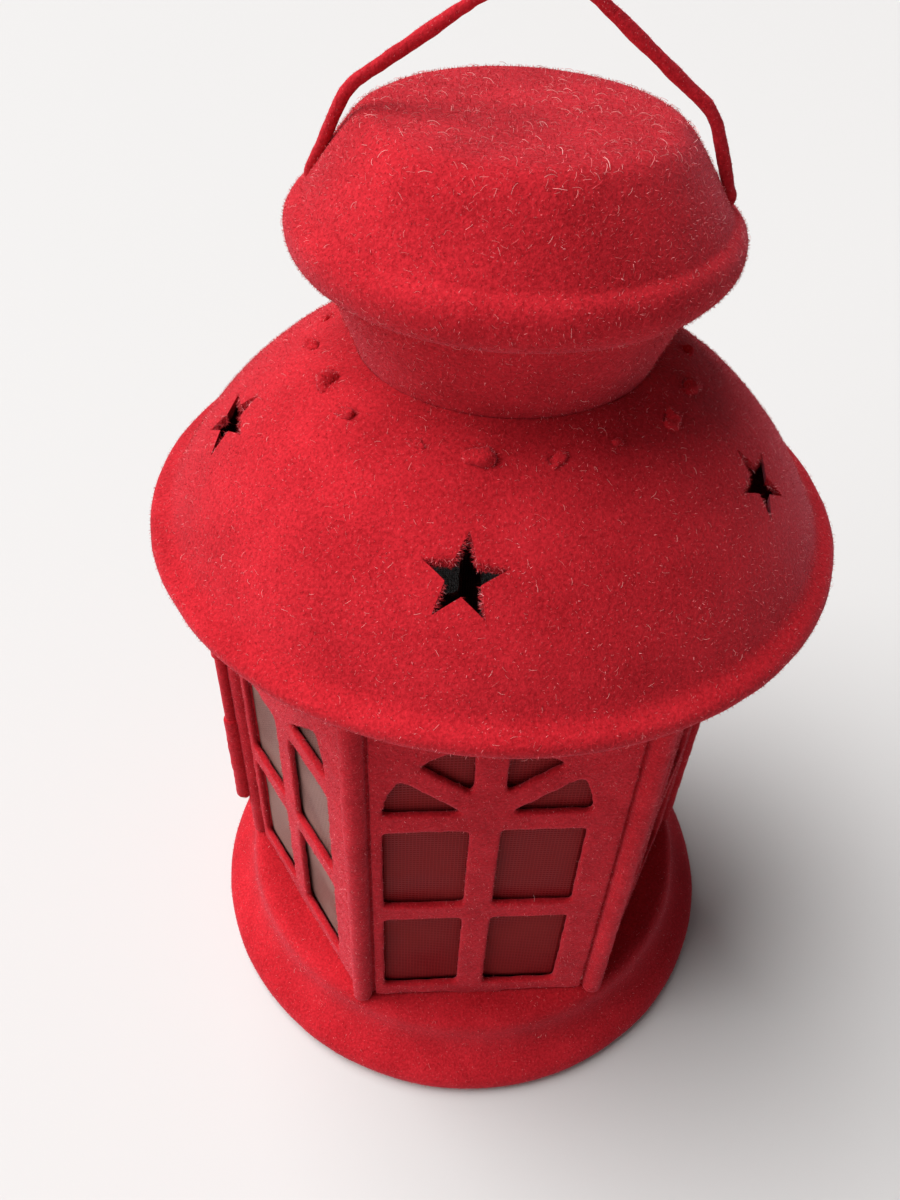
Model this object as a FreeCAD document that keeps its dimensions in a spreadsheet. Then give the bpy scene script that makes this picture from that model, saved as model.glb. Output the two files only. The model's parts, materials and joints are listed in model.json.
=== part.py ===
import FreeCAD, Part
import math
import os
import Sketcher

# A small flocked sheet-metal tealight lantern: pressed round base, hexagonal body of window
# panels with a hinged door, domed roof with star cut-outs, conical neck, cap and wire bail.
# Millimetres, +Z up, origin at the centre of the base's underside, front window facing -Y.

Vector = FreeCAD.Vector
doc = FreeCAD.newDocument("tealight_lantern")
sheet = doc.addObject("Spreadsheet::Sheet", "Sizes")

DRIVING_SIZES = [
    ("wall", 1.0),               # sheet with its flocked coat
    ("seat_gap", 0.05),          # fixed pieces that touch
    ("free_gap", 0.35),          # pieces that move past one another
    ("base_radius", 61.0),
    ("base_height", 17.0),
    ("hem_height", 3.0),
    ("hem_width", 5.0),
    ("skirt_radius", 54.0),
    ("skirt_height", 11.2),
    ("skirt_inset", 0.4),
    ("flare_round", 8.0),
    ("flare_inset", 2.6),
    ("flare_rise", 3.4),
    ("hem_round", 4.6),
    ("ledge_round", 2.6),
    ("cup_radius", 20.2),
    ("cup_height", 7.5),
    ("cup_foot", 6.6),
    ("cup_rivet_count", 3),
    ("rivet_radius", 0.9),
    ("rivet_head_radius", 1.9),
    ("rivet_head_height", 0.9),
    ("small_rivet_radius", 0.7),
    ("small_head_radius", 1.4),
    ("small_head_height", 0.5),
    ("body_apothem", 45.0),
    ("body_height", 107.0),
    ("panel_setback", 2.88),     # panel edge short of the body's corner
    ("tab_half", 5.0),
    ("tab_reach", 2.2),
    ("window_frame", 4.7),
    ("window_shift", -2.2),
    ("window_sill", 4.7),
    ("lower_pane", 28.2),
    ("upper_pane", 25.6),
    ("muntin_low", 5.2),
    ("muntin_high", 5.6),
    ("mullion_half", 3.1),
    ("fan_bar_half", 2.5),
    ("fan_angle", 40.0),
    ("film_left_lap", 0.5),
    ("film_right_lap", 1.0),
    ("film_thick", 0.25),
    ("film_lap", 2.0),
    ("bead_radius", 1.6),
    ("bead_offset", 0.8),
    ("flange_length", 4.0),
    ("door_gap", 0.6),
    ("rim_clear", 1.0),
    ("lintel_gap", 0.4),
    ("knuckle_radius", 1.2),
    ("knuckle_length", 20.0),
    ("low_knuckle_length", 28.0),
    ("knuckle_gap", 0.5),
    ("pin_radius", 0.6),
    ("pin_fit", 0.05),
    ("pin_end", 1.2),
    ("hinge_middle", 70.0),
    ("leaf_thick", 0.8),
    ("leaf_reach", 5.9),
    ("leaf_edge", 1.4),
    ("leaf_rise", 1.5),
    ("leaf_crank", 1.2),
    ("leaf_rivet_inset", 1.7),
    ("button_height", 73.0),
    ("button_half", 1.7),
    ("button_length", 11.0),
    ("collar_radius", 1.4),
    ("collar_extra", 0.2),
    ("plate_ledge", 6.0),
    ("roof_radius", 60.0),
    ("rim_tube", 2.3),
    ("rim_inner", 4.4),
    ("rim_drop", 0.3),
    ("rim_lip", 0.8),
    ("rim_lip_round", 2.4),
    ("rim_wall", 3.0),
    ("eaves_inset", 2.4),
    ("eaves_rise", 4.0),
    ("eaves_round", 5.5),
    ("roof_side_round", 31.7),
    ("roof_top_round", 30.9),
    ("roof_rise", 30.4),
    ("roof_shoulder_r", 51.0),
    ("roof_shoulder_z", 11.9),
    ("roof_bulge_r", 41.0),
    ("roof_bulge_z", 21.3),
    ("star_ring", 45.0),
    ("star_radius", 6.5),
    ("star_core", 2.7),
    ("star_count", 5),
    ("star_turn", -11.5),
    ("roof_slope", 42.0),
    ("vent_ring", 30.8),
    ("vent_radius", 0.9),
    ("vent_count", 18),
    ("neck_low", 24.3),
    ("neck_high", 29.7),
    ("neck_rise", 14.1),
    ("neck_flange", 2.9),
    ("neck_sink", 1.3),
    ("neck_lip", 1.1),
    ("cap_rise", 20.1),
    ("cap_flat", 21.6),
    ("cap_edge_r", 24.2),
    ("cap_edge_drop", 2.2),
    ("cap_shoulder_r", 32.4),
    ("cap_shoulder_drop", 12.4),
    ("cap_bead_radius", 33.7),
    ("cap_bead_rise", 3.4),
    ("cap_bead_inset", 2.7),
    ("cap_bead_round", 4.1),
    ("cap_side_round", 40.0),
    ("cap_edge_round", 3.0),
    ("pivot_drop", 10.9),
    ("bail_turn", -6.4),
    ("bail_lean", 8.0),
    ("bail_wire", 0.8),
    ("bail_fit", 0.08),
    ("bail_stub", 28.0),
    ("bail_leg", 33.0),
    ("bail_kink_u", 25.2),
    ("bail_kink_v", 12.9),
    ("bail_slope", 35.2),
    ("bail_crown", 5.0),
]

WORKED_SIZES = [
    ("roof_seat", "base_height + body_height"),
    ("panel_inner", "body_apothem - wall"),
    ("flange_outer", "panel_inner - seat_gap"),
    ("panel_half", "body_apothem * tan(30) - panel_setback"),
    ("window_half", "panel_half - window_frame"),
    ("film_left", "window_half - window_shift + film_left_lap"),
    ("film_right", "window_half + window_shift + film_right_lap"),
    ("leaf_inner", "panel_half - leaf_reach"),
    ("leaf_step", "panel_half - leaf_edge"),
    ("plate_hole", "panel_inner - plate_ledge"),
    ("post_corner", "flange_outer / cos(30)"),
    ("bead_centre", "post_corner + bead_offset"),
    ("bead_top", "bead_centre * cos(30) + bead_radius"),
    ("bead_side", "bead_centre * sin(30)"),
    ("hinge_radius", "bead_centre + bead_radius + free_gap + knuckle_radius"),
    ("hinge_side", "hinge_radius * sin(30)"),
    ("hinge_out", "hinge_radius * cos(30)"),
    ("hinge_low", "hinge_middle - 0.5 * knuckle_length - knuckle_gap - low_knuckle_length"),
    ("fan_floor", "window_sill + lower_pane + upper_pane + muntin_low + muntin_high"),
    ("rim_middle", "roof_seat - rim_drop"),
    ("rim_bottom", "rim_middle - rim_tube"),
    ("door_bottom", "base_height + door_gap"),
    ("door_top", "rim_bottom - rim_clear"),
    ("rim_groove", "roof_radius - rim_wall"),
    ("plate_radius", "rim_groove - 2 * seat_gap"),
    ("throat_z", "roof_seat + roof_rise"),
    ("throat_r", "neck_low + 2 * seat_gap"),
    ("neck_top", "throat_z + neck_rise"),
    ("neck_slope", "(neck_high - neck_low) / neck_rise"),
    ("cap_top", "neck_top + cap_rise"),
    ("pivot_z", "cap_top - pivot_drop"),
    ("slot_half", "tab_half + 3 * seat_gap"),
]


def fill_sheet():
    for row, (name, value) in enumerate(DRIVING_SIZES, 1):
        sheet.set(f"A{row}", name)
        sheet.set(f"B{row}", str(value))
        sheet.setAlias(f"B{row}", name)
    first = len(DRIVING_SIZES) + 1
    for row, (name, formula) in enumerate(WORKED_SIZES, first):
        sheet.set(f"A{row}", name)
        sheet.set(f"B{row}", "=" + formula)
        sheet.setAlias(f"B{row}", name)
    doc.recompute()


fill_sheet()
NAMES = [name for name, _ in DRIVING_SIZES + WORKED_SIZES]


def bound(text):
    """An expression on the sheet's aliases, written for use outside the sheet."""
    words = []
    word = ""
    for letter in str(text) + " ":
        if letter.isalnum() or letter == "_":
            word += letter
            continue
        words.append("Sizes." + word if word in NAMES else word)
        words.append(letter)
        word = ""
    return "".join(words).strip()


def size(text):
    return float(sheet.evalExpression(bound(text)))


def new_body(name):
    body = doc.addObject("PartDesign::Body", name)
    body.Label = name
    return body


def new_sketch(body, role, name, offset="0"):
    plane = [f for f in body.Origin.OriginFeatures if f.Role == role][0]
    sketch = body.newObject("Sketcher::SketchObject", name)
    sketch.AttachmentSupport = [(plane, "")]
    sketch.MapMode = "FlatFace"
    sketch.setExpression(".AttachmentOffset.Base.z", bound(offset))
    return sketch


def hold_point(sketch, geometry, end, corner):
    """Ties one end of a sketch element to the sheet, measured from the sketch's origin."""
    for kind, text in (("DistanceX", corner[0]), ("DistanceY", corner[1])):
        rule = Sketcher.Constraint(kind, -1, 1, geometry, end, size(text))
        number = sketch.addConstraint(rule)
        sketch.setExpression(f"Constraints[{number}]", bound(text))


def add_arc(sketch, centre, start, stop, radius):
    """Anticlockwise arc from start to stop, held at a radius given as an expression."""
    first = math.atan2(start.y - centre.y, start.x - centre.x)
    last = math.atan2(stop.y - centre.y, stop.x - centre.x)
    if last < first:
        last += 2 * math.pi
    circle = Part.Circle(centre, Vector(0, 0, 1), size(radius))
    number = sketch.addGeometry(Part.ArcOfCircle(circle, first, last), False)
    rule = sketch.addConstraint(Sketcher.Constraint("Radius", number, size(radius)))
    sketch.setExpression(f"Constraints[{rule}]", bound(radius))
    return number


def add_edge(sketch, start, stop, arc):
    """A line, or an arc (radius, side) whose side is +1 to bulge left of the way it runs.

    Returns the element's number and which of its ends are the start and the stop."""
    if arc is None:
        return sketch.addGeometry(Part.LineSegment(start, stop), False), 1, 2
    radius, side = arc
    chord = stop - start
    drop = math.sqrt(max(0, size(radius) ** 2 - (chord.Length / 2) ** 2))
    left = Vector(-chord.y, chord.x, 0).normalize()
    centre = (start + stop) * 0.5 - left * (side * drop)
    if side > 0:
        return add_arc(sketch, centre, stop, start, radius), 2, 1
    return add_arc(sketch, centre, start, stop, radius), 1, 2


def draw_path(sketch, corners, arcs=None, closed=True):
    """Lines and arcs through corners given as pairs of expressions."""
    arcs = arcs or {}
    points = [Vector(size(x), size(y), 0) for x, y in corners]
    count = len(corners) if closed else len(corners) - 1
    ends = []
    for index in range(count):
        following = points[(index + 1) % len(points)]
        ends.append(add_edge(sketch, points[index], following, arcs.get(index)))
    for index in range(count):
        number, first, last = ends[index]
        hold_point(sketch, number, first, corners[index])
        if index or closed:
            before = ends[index - 1]
            sketch.addConstraint(Sketcher.Constraint("Coincident", before[0], before[2], number, first))
    if not closed:
        hold_point(sketch, ends[-1][0], ends[-1][2], corners[-1])


def draw_circle(sketch, centre, radius):
    middle = Vector(size(centre[0]), size(centre[1]), 0)
    number = sketch.addGeometry(Part.Circle(middle, Vector(0, 0, 1), size(radius)), False)
    rule = sketch.addConstraint(Sketcher.Constraint("Radius", number, size(radius)))
    sketch.setExpression(f"Constraints[{rule}]", bound(radius))
    hold_point(sketch, number, 3, centre)


def draw_box(sketch, low, high):
    corners = [low, (high[0], low[1]), high, (low[0], high[1])]
    draw_path(sketch, corners)


def pad(body, sketch, length):
    feature = body.newObject("PartDesign::Pad", sketch.Name + "_pad")
    feature.Profile = sketch
    feature.setExpression("Length", bound(length))
    doc.recompute()
    return feature


def pocket(body, sketch, length):
    """Cuts against the sketch's normal, and stops if nothing was cut."""
    before = body.Shape.Volume
    feature = body.newObject("PartDesign::Pocket", sketch.Name + "_cut")
    feature.Profile = sketch
    feature.setExpression("Length", bound(length))
    doc.recompute()
    if body.Shape.Volume > before - 1e-6:
        raise RuntimeError(feature.Name + " removes nothing")
    return feature


def revolve(body, sketch):
    feature = body.newObject("PartDesign::Revolution", sketch.Name + "_turn")
    feature.Profile = sketch
    feature.ReferenceAxis = (sketch, ["V_Axis"])
    feature.Angle = 360
    doc.recompute()
    return feature


def polar(body, features, count, angle=360):
    axis = [f for f in body.Origin.OriginFeatures if f.Role == "Z_Axis"][0]
    feature = body.newObject("PartDesign::PolarPattern", features[-1].Name + "_ring")
    feature.Originals = features
    feature.Axis = (axis, [""])
    feature.Angle = angle
    feature.setExpression("Occurrences", bound(count))
    body.Tip = feature
    doc.recompute()
    return feature


def turn_about_z(body, degrees):
    body.Placement = FreeCAD.Placement(Vector(0, 0, 0), FreeCAD.Rotation(Vector(0, 0, 1), degrees))


# ---- base and candle holder -----------------------------------------------------------------
# Drawn with the first tab slot in front, then turned to put it under the front-left panel.

FLOOR_TURN = -60


def make_base_pan():
    """Upside-down pressed dish: flat floor, short collar, flared skirt and a rolled hem."""
    body = new_body("base_pan")
    sketch = new_sketch(body, "XZ_Plane", "pan_section")
    corners = [
        ("0", "base_height"),
        ("skirt_radius - skirt_inset - ledge_round", "base_height"),
        ("skirt_radius - skirt_inset", "base_height - ledge_round"),
        ("skirt_radius", "skirt_height"),
        ("base_radius - flare_inset", "hem_height + flare_rise"),
        ("base_radius", "hem_height"),
        ("base_radius - hem_height", "0"),
        ("base_radius - hem_width", "0"),
        ("base_radius - hem_width", "hem_height"),
        ("base_radius - flare_inset - 0.8 * wall", "hem_height + flare_rise - 0.6 * wall"),
        ("skirt_radius - wall", "skirt_height - 0.3 * wall"),
        ("skirt_radius - skirt_inset - wall", "base_height - ledge_round"),
        ("skirt_radius - skirt_inset - ledge_round", "base_height - wall"),
        ("0", "base_height - wall"),
    ]
    arcs = {
        1: ("ledge_round", 1),
        3: ("flare_round", -1),
        4: ("hem_round", 1),
        5: ("hem_height", 1),
        9: ("flare_round + wall", 1),
        11: ("ledge_round - wall", -1),
    }
    draw_path(sketch, corners, arcs)
    revolve(body, sketch)
    slots = new_sketch(body, "XY_Plane", "pan_slot", "base_height + wall")
    draw_box(slots, ("-slot_half", "-body_apothem - 2 * seat_gap"),
             ("slot_half", "-panel_inner + 2 * seat_gap"))
    cut = pocket(body, slots, "3 * wall")
    # Five slots, from the front-left panel round to the back one: the door has no tabs.
    polar(body, [cut], "5", 240)
    holes = new_sketch(body, "XY_Plane", "pan_rivet_hole", "base_height + wall")
    draw_circle(holes, ("cup_radius + wall + cup_foot / 2", "0"), "rivet_radius + seat_gap")
    polar(body, [pocket(body, holes, "3 * wall")], "cup_rivet_count")
    turn_about_z(body, FLOOR_TURN)
    return body


def make_candle_cup():
    """Ring that a tealight stands in, with a flat foot riveted to the floor."""
    body = new_body("candle_cup")
    sketch = new_sketch(body, "XZ_Plane", "cup_section")
    floor = "base_height + seat_gap"
    corners = [
        ("cup_radius", floor),
        ("cup_radius + wall + cup_foot", floor),
        ("cup_radius + wall + cup_foot", floor + " + wall"),
        ("cup_radius + wall", floor + " + wall"),
        ("cup_radius + wall", floor + " + cup_height"),
        ("cup_radius", floor + " + cup_height"),
    ]
    draw_path(sketch, corners)
    revolve(body, sketch)
    holes = new_sketch(body, "XY_Plane", "cup_rivet_hole", "base_height + 3 * wall")
    draw_circle(holes, ("cup_radius + wall + cup_foot / 2", "0"), "rivet_radius + seat_gap")
    polar(body, [pocket(body, holes, "4 * wall")], "cup_rivet_count")
    turn_about_z(body, FLOOR_TURN)
    return body


def make_cup_rivets():
    body = new_body("cup_rivets")
    body.AllowCompound = True
    centre = ("cup_radius + wall + cup_foot / 2", "0")
    under = "base_height - wall - seat_gap"
    levels = [
        ("under_head", under + " - rivet_head_height", "rivet_head_radius", "rivet_head_height"),
        ("shank", under, "rivet_radius", "2 * wall + 3 * seat_gap"),
        ("upper_head", under + " + 2 * wall + 3 * seat_gap", "rivet_head_radius", "rivet_head_height"),
    ]
    pads = []
    for name, level, radius, length in levels:
        sketch = new_sketch(body, "XY_Plane", "cup_rivet_" + name, level)
        draw_circle(sketch, centre, radius)
        pads.append(pad(body, sketch, length))
    polar(body, pads, "cup_rivet_count")
    turn_about_z(body, FLOOR_TURN)
    return body


# ---- hexagonal body -------------------------------------------------------------------------

def along(distance, height):
    """A point beside the fan's diagonal bar: distance along it and height above its middle."""
    return (f"({distance}) * cos(fan_angle) - ({height}) * sin(fan_angle)",
            f"({distance}) * sin(fan_angle) + ({height}) * cos(fan_angle)")


def pane_outlines(foot):
    """Pane openings of one window: four rectangles and the fan's four segments."""
    sill = f"{foot} + window_sill"
    middle = f"{sill} + lower_pane + muntin_low"
    floor = f"{foot} + fan_floor"
    panes = []
    for bottom, height in ((sill, "lower_pane"), (middle, "upper_pane")):
        for side in (-1, 1):
            inner = f"window_shift + {side} * mullion_half"
            outer = f"window_shift + {side} * window_half"
            panes.append(([(inner, bottom), (outer, bottom), (outer, f"{bottom} + {height}"),
                           (inner, f"{bottom} + {height}")], {}))
    reach = "sqrt(window_half ^ 2 - fan_bar_half ^ 2)"
    low_end = along(reach, "-fan_bar_half")
    high_end = along(reach, "fan_bar_half")
    crown = "sqrt(window_half ^ 2 - mullion_half ^ 2)"
    heel = "mullion_half * tan(fan_angle) + fan_bar_half / cos(fan_angle)"
    for side in (-1, 1):
        low = [("fan_bar_half / sin(fan_angle)", "0"), ("window_half", "0"), low_end]
        high = [("mullion_half", heel), high_end, ("mullion_half", crown)]
        for corners in (low, high):
            moved = [(f"window_shift + {side} * ({x})", f"{floor} + {z}") for x, z in corners]
            panes.append((moved, {1: ("window_half", -side)}))
    return panes


def make_panel(name, turn, foot, top, bottom_tab, top_tab):
    """Flat sheet between two corner posts, with tabs above and below; foot and top are heights."""
    body = new_body(name)
    sheet_sketch = new_sketch(body, "XZ_Plane", name + "_sheet", "panel_inner")
    corners = [("-panel_half", foot)]
    if bottom_tab:
        corners += [("-tab_half", foot), ("-tab_half", foot + " - wall - tab_reach"),
                    ("tab_half", foot + " - wall - tab_reach"), ("tab_half", foot)]
    corners += [("panel_half", foot), ("panel_half", top)]
    if top_tab:
        corners += [("tab_half", top), ("tab_half", top + " + wall + tab_reach"),
                    ("-tab_half", top + " + wall + tab_reach"), ("-tab_half", top)]
    corners += [("-panel_half", top)]
    draw_path(sheet_sketch, corners)
    pad(body, sheet_sketch, "wall")
    turn_about_z(body, turn)
    return body


def cut_panes(body):
    sketch = new_sketch(body, "XZ_Plane", body.Name + "_panes", "body_apothem + wall")
    for corners, arcs in pane_outlines("base_height"):
        draw_path(sketch, corners, arcs)
    pocket(body, sketch, "3 * wall")


def make_film(name, turn):
    """Thin translucent sheet glued behind a window."""
    body = new_body(name)
    sketch = new_sketch(body, "XZ_Plane", name + "_outline", "flange_outer - film_thick")
    low = "base_height + window_sill - film_lap"
    high = "base_height + fan_floor + window_half + film_lap"
    draw_box(sketch, ("-film_left", low), ("film_right", high))
    pad(body, sketch, "film_thick")
    turn_about_z(body, turn)
    return body


def make_post(name, turn):
    """Corner strip: a half-round bead outside and two flanges behind the panels' edges."""
    body = new_body(name)
    sketch = new_sketch(body, "XY_Plane", name + "_section", "base_height + seat_gap")
    meet = "(-bead_offset + sqrt(4 * bead_radius ^ 2 - 3 * bead_offset ^ 2)) / 2"
    outer = "post_corner"
    inner = "(flange_outer - wall) / cos(30)"

    def on_flange(start, distance, side):
        return (f"{start} - 0.5 * ({distance})", f"{side} * cos(30) * ({distance})")

    corners = [
        on_flange(outer, meet, -1),
        on_flange(outer, meet, 1),
        on_flange(outer, "flange_length", 1),
        on_flange(inner, "flange_length - wall * tan(30)", 1),
        (inner, "0"),
        on_flange(inner, "flange_length - wall * tan(30)", -1),
        on_flange(outer, "flange_length", -1),
    ]
    points = [Vector(size(x), size(y), 0) for x, y in corners]
    number = add_arc(sketch, Vector(size("bead_centre"), 0, 0), points[0], points[1], "bead_radius")
    hold_point(sketch, number, 1, corners[0])
    last = (number, 2)
    for index in range(1, len(corners)):
        following = points[(index + 1) % len(corners)]
        line = sketch.addGeometry(Part.LineSegment(points[index], following), False)
        hold_point(sketch, line, 1, corners[index])
        sketch.addConstraint(Sketcher.Constraint("Coincident", last[0], last[1], line, 1))
        last = (line, 2)
    sketch.addConstraint(Sketcher.Constraint("Coincident", last[0], last[1], number, 1))
    pad(body, sketch, "body_height - 2 * seat_gap")
    turn_about_z(body, turn)
    return body


# ---- door, hinge and catch ------------------------------------------------------------------
# Drawn as if the door were the front panel, then turned to its place at the back left.

DOOR_TURN = -120


def make_door_hinge_leaf():
    """Strip riveted to the door and rolled into the middle knuckle."""
    body = new_body("door_hinge_leaf")
    low = "hinge_middle - knuckle_length / 2"
    strip = new_sketch(body, "XY_Plane", "leaf_section", low)
    face = "body_apothem + seat_gap"
    corners = [
        ("leaf_inner", f"-({face})"),
        ("leaf_step", f"-({face})"),
        ("leaf_step + leaf_crank", f"-({face} + leaf_rise)"),
        ("hinge_side", f"-({face} + leaf_rise)"),
        ("hinge_side", f"-({face} + leaf_rise + leaf_thick)"),
        ("leaf_step + leaf_crank - leaf_thick / 2", f"-({face} + leaf_rise + leaf_thick)"),
        ("leaf_step - leaf_thick / 2", f"-({face} + leaf_thick)"),
        ("leaf_inner", f"-({face} + leaf_thick)"),
    ]
    draw_path(strip, corners)
    pad(body, strip, "knuckle_length")
    roll = new_sketch(body, "XY_Plane", "leaf_knuckle", low)
    draw_circle(roll, ("hinge_side", "-hinge_out"), "knuckle_radius")
    pad(body, roll, "knuckle_length")
    bore = new_sketch(body, "XY_Plane", "leaf_bore", low + " + 2 * knuckle_length")
    draw_circle(bore, ("hinge_side", "-hinge_out"), "pin_radius + pin_fit")
    pocket(body, bore, "4 * knuckle_length")
    holes = new_sketch(body, "XZ_Plane", "leaf_rivet_hole", "body_apothem + 3 * wall")
    for side in (-1, 1):
        draw_circle(holes, ("leaf_inner + leaf_rivet_inset", f"hinge_middle + {side} * knuckle_length / 4"),
                    "small_rivet_radius + seat_gap")
    pocket(body, holes, "4 * wall")
    turn_about_z(body, DOOR_TURN)
    return body


def make_leaf_rivets():
    """Two small rivets through the leaf and the door."""
    body = new_body("door_leaf_rivets")
    body.AllowCompound = True
    levels = [
        ("inner_head", "panel_inner - seat_gap - small_head_height", "small_head_radius", "small_head_height"),
        ("shank", "panel_inner - seat_gap", "small_rivet_radius", "wall + leaf_thick + 3 * seat_gap"),
        ("outer_head", "body_apothem + leaf_thick + 2 * seat_gap", "small_head_radius", "small_head_height"),
    ]
    for name, level, radius, length in levels:
        sketch = new_sketch(body, "XZ_Plane", "leaf_rivet_" + name, level)
        for side in (-1, 1):
            draw_circle(sketch, ("leaf_inner + leaf_rivet_inset", f"hinge_middle + {side} * knuckle_length / 4"), radius)
        pad(body, sketch, length)
    turn_about_z(body, DOOR_TURN)
    return body


def make_door():
    body = make_panel("door_panel", DOOR_TURN, "door_bottom", "door_top", False, False)
    cut_panes(body)
    holes = new_sketch(body, "XZ_Plane", "door_rivet_hole", "body_apothem + 3 * wall")
    for side in (-1, 1):
        draw_circle(holes, ("leaf_inner + leaf_rivet_inset", f"hinge_middle + {side} * knuckle_length / 4"),
                    "small_rivet_radius + seat_gap")
    pocket(body, holes, "6 * wall")
    return body


def make_frame_knuckles():
    """Upper and lower knuckles, each on a short web brazed to the corner post."""
    body = new_body("frame_hinge_knuckles")
    body.AllowCompound = True
    lower = "hinge_low"
    upper = "hinge_middle + knuckle_length / 2 + knuckle_gap"
    tubes = (("lower", lower, "low_knuckle_length"), ("upper", upper, "knuckle_length"))
    for name, level, length in tubes:
        tube = new_sketch(body, "XY_Plane", name + "_tube", level)
        draw_circle(tube, ("hinge_radius", "0"), "knuckle_radius")
        pad(body, tube, length)
        web = new_sketch(body, "XY_Plane", name + "_web", level)
        draw_box(web, ("bead_centre + bead_radius + seat_gap", "-wall / 2"),
                 ("hinge_radius - pin_radius", "wall / 2"))
        pad(body, web, length)
    bore = new_sketch(body, "XY_Plane", "frame_knuckle_bore", "roof_seat")
    draw_circle(bore, ("hinge_radius", "0"), "pin_radius + pin_fit")
    pocket(body, bore, "body_height")
    turn_about_z(body, 180)
    return body


def make_hinge_pin():
    body = new_body("hinge_pin")
    length = "2 * knuckle_length + low_knuckle_length + 2 * knuckle_gap"
    shank = new_sketch(body, "XY_Plane", "pin_shank", "hinge_low - pin_end")
    draw_circle(shank, ("hinge_radius", "0"), "pin_radius")
    pad(body, shank, length + " + 2 * pin_end")
    levels = (("foot", "hinge_low - pin_end"), ("head", "hinge_low + " + length + " + seat_gap"))
    for name, level in levels:
        sketch = new_sketch(body, "XY_Plane", "pin_" + name, level)
        draw_circle(sketch, ("hinge_radius", "0"), "knuckle_radius - 2 * seat_gap")
        pad(body, sketch, "pin_end - seat_gap")
    turn_about_z(body, 180)
    return body


def make_button_stud():
    """Collared stud on the corner bead that the turn button swivels on."""
    body = new_body("button_stud")
    base = "bead_top + seat_gap"
    collar = "free_gap + collar_extra"
    levels = [
        ("collar", base, "collar_radius", collar),
        ("shaft", f"{base} + {collar}", "rivet_radius", "wall + 2 * seat_gap"),
        ("head", f"{base} + {collar} + wall + 2 * seat_gap", "rivet_head_radius", "rivet_head_height"),
    ]
    for name, level, radius, length in levels:
        sketch = new_sketch(body, "XZ_Plane", "stud_" + name, level)
        draw_circle(sketch, ("-bead_side", "button_height"), radius)
        pad(body, sketch, length)
    turn_about_z(body, DOOR_TURN)
    return body


def make_turn_button():
    """Flat bar that hangs beside the door and swings across its edge to hold it shut."""
    body = new_body("turn_button")
    level = "bead_top + 2 * seat_gap + free_gap + collar_extra"
    sketch = new_sketch(body, "XZ_Plane", "button_bar", level)
    left = "-bead_side - button_half"
    right = "-bead_side + button_half"
    corners = [
        (left, "button_height"),
        (left, "button_height - button_length + button_half"),
        (right, "button_height - button_length + button_half"),
        (right, "button_height"),
    ]
    arcs = {1: ("button_half", -1), 3: ("button_half", -1)}
    draw_path(sketch, corners, arcs)
    pad(body, sketch, "wall")
    bore = new_sketch(body, "XZ_Plane", "button_bore", level + " + 2 * wall")
    draw_circle(bore, ("-bead_side", "button_height"), "rivet_radius + pin_fit")
    pocket(body, bore, "3 * wall")
    turn_about_z(body, DOOR_TURN)
    return body


# ---- top plate, roof, neck and cap ----------------------------------------------------------

def make_top_plate():
    """Flat ring that takes the panels' upper tabs; its edge sits inside the roof's rolled rim."""
    body = new_body("top_plate")
    ring = new_sketch(body, "XY_Plane", "plate_ring", "roof_seat")
    draw_circle(ring, ("0", "0"), "plate_radius")
    draw_circle(ring, ("0", "0"), "plate_hole")
    pad(body, ring, "wall")
    slot = new_sketch(body, "XY_Plane", "plate_slot", "roof_seat + 2 * wall")
    draw_box(slot, ("-slot_half", "-body_apothem - 2 * seat_gap"),
             ("slot_half", "-panel_inner + 2 * seat_gap"))
    polar(body, [pocket(body, slot, "3 * wall")], "6")
    return body


def make_roof():
    """Domed roof with a rolled rim, star cut-outs and a ring of small vents round the neck."""
    body = new_body("roof")
    sketch = new_sketch(body, "XZ_Plane", "roof_section")
    seat = "roof_seat - seat_gap"
    corners = [
        ("throat_r", "throat_z"),
        ("roof_bulge_r", "roof_seat + roof_bulge_z"),
        ("roof_shoulder_r", "roof_seat + roof_shoulder_z"),
        ("roof_radius - eaves_inset", "rim_middle + eaves_rise"),
        ("roof_radius", "rim_middle"),
        ("roof_radius - rim_tube", "rim_bottom"),
        ("roof_radius - rim_inner", "rim_middle - rim_lip"),
        ("roof_radius - rim_inner", seat),
        ("rim_groove", seat),
        ("rim_groove", "roof_seat + wall + seat_gap"),
        ("roof_radius - rim_inner", "roof_seat + wall + seat_gap"),
        ("roof_radius - eaves_inset - 1.7 * wall", "rim_middle + eaves_rise + 0.5 * wall"),
        ("roof_shoulder_r - 0.74 * wall", "roof_seat + roof_shoulder_z - 0.67 * wall"),
        ("roof_bulge_r - 0.6 * wall", "roof_seat + roof_bulge_z - 0.8 * wall"),
        ("throat_r", "throat_z - wall"),
    ]
    arcs = {
        0: ("roof_top_round", 1),
        1: ("roof_side_round", 1),
        3: ("eaves_round", 1),
        4: ("rim_tube", 1),
        5: ("rim_lip_round", 1),
        12: ("roof_side_round - wall", -1),
        13: ("roof_top_round - wall", -1),
    }
    draw_path(sketch, corners, arcs)
    revolve(body, sketch)
    star = new_sketch(body, "XY_Plane", "star_outline", "throat_z + wall")
    points = []
    for index in range(10):
        reach = "star_core" if index % 2 else "star_radius"
        angle = 36 * index
        points.append((f"star_ring - {reach} * cos({angle}) * cos(roof_slope)",
                       f"{reach} * sin({angle})"))
    draw_path(star, points)
    polar(body, [pocket(body, star, "roof_rise")], "star_count")
    vent = new_sketch(body, "XY_Plane", "vent_hole", "throat_z + wall")
    draw_circle(vent, ("vent_ring", "0"), "vent_radius")
    polar(body, [pocket(body, vent, "roof_rise")], "vent_count")
    turn_about_z(body, size("star_turn") - 90)
    return body


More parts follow.
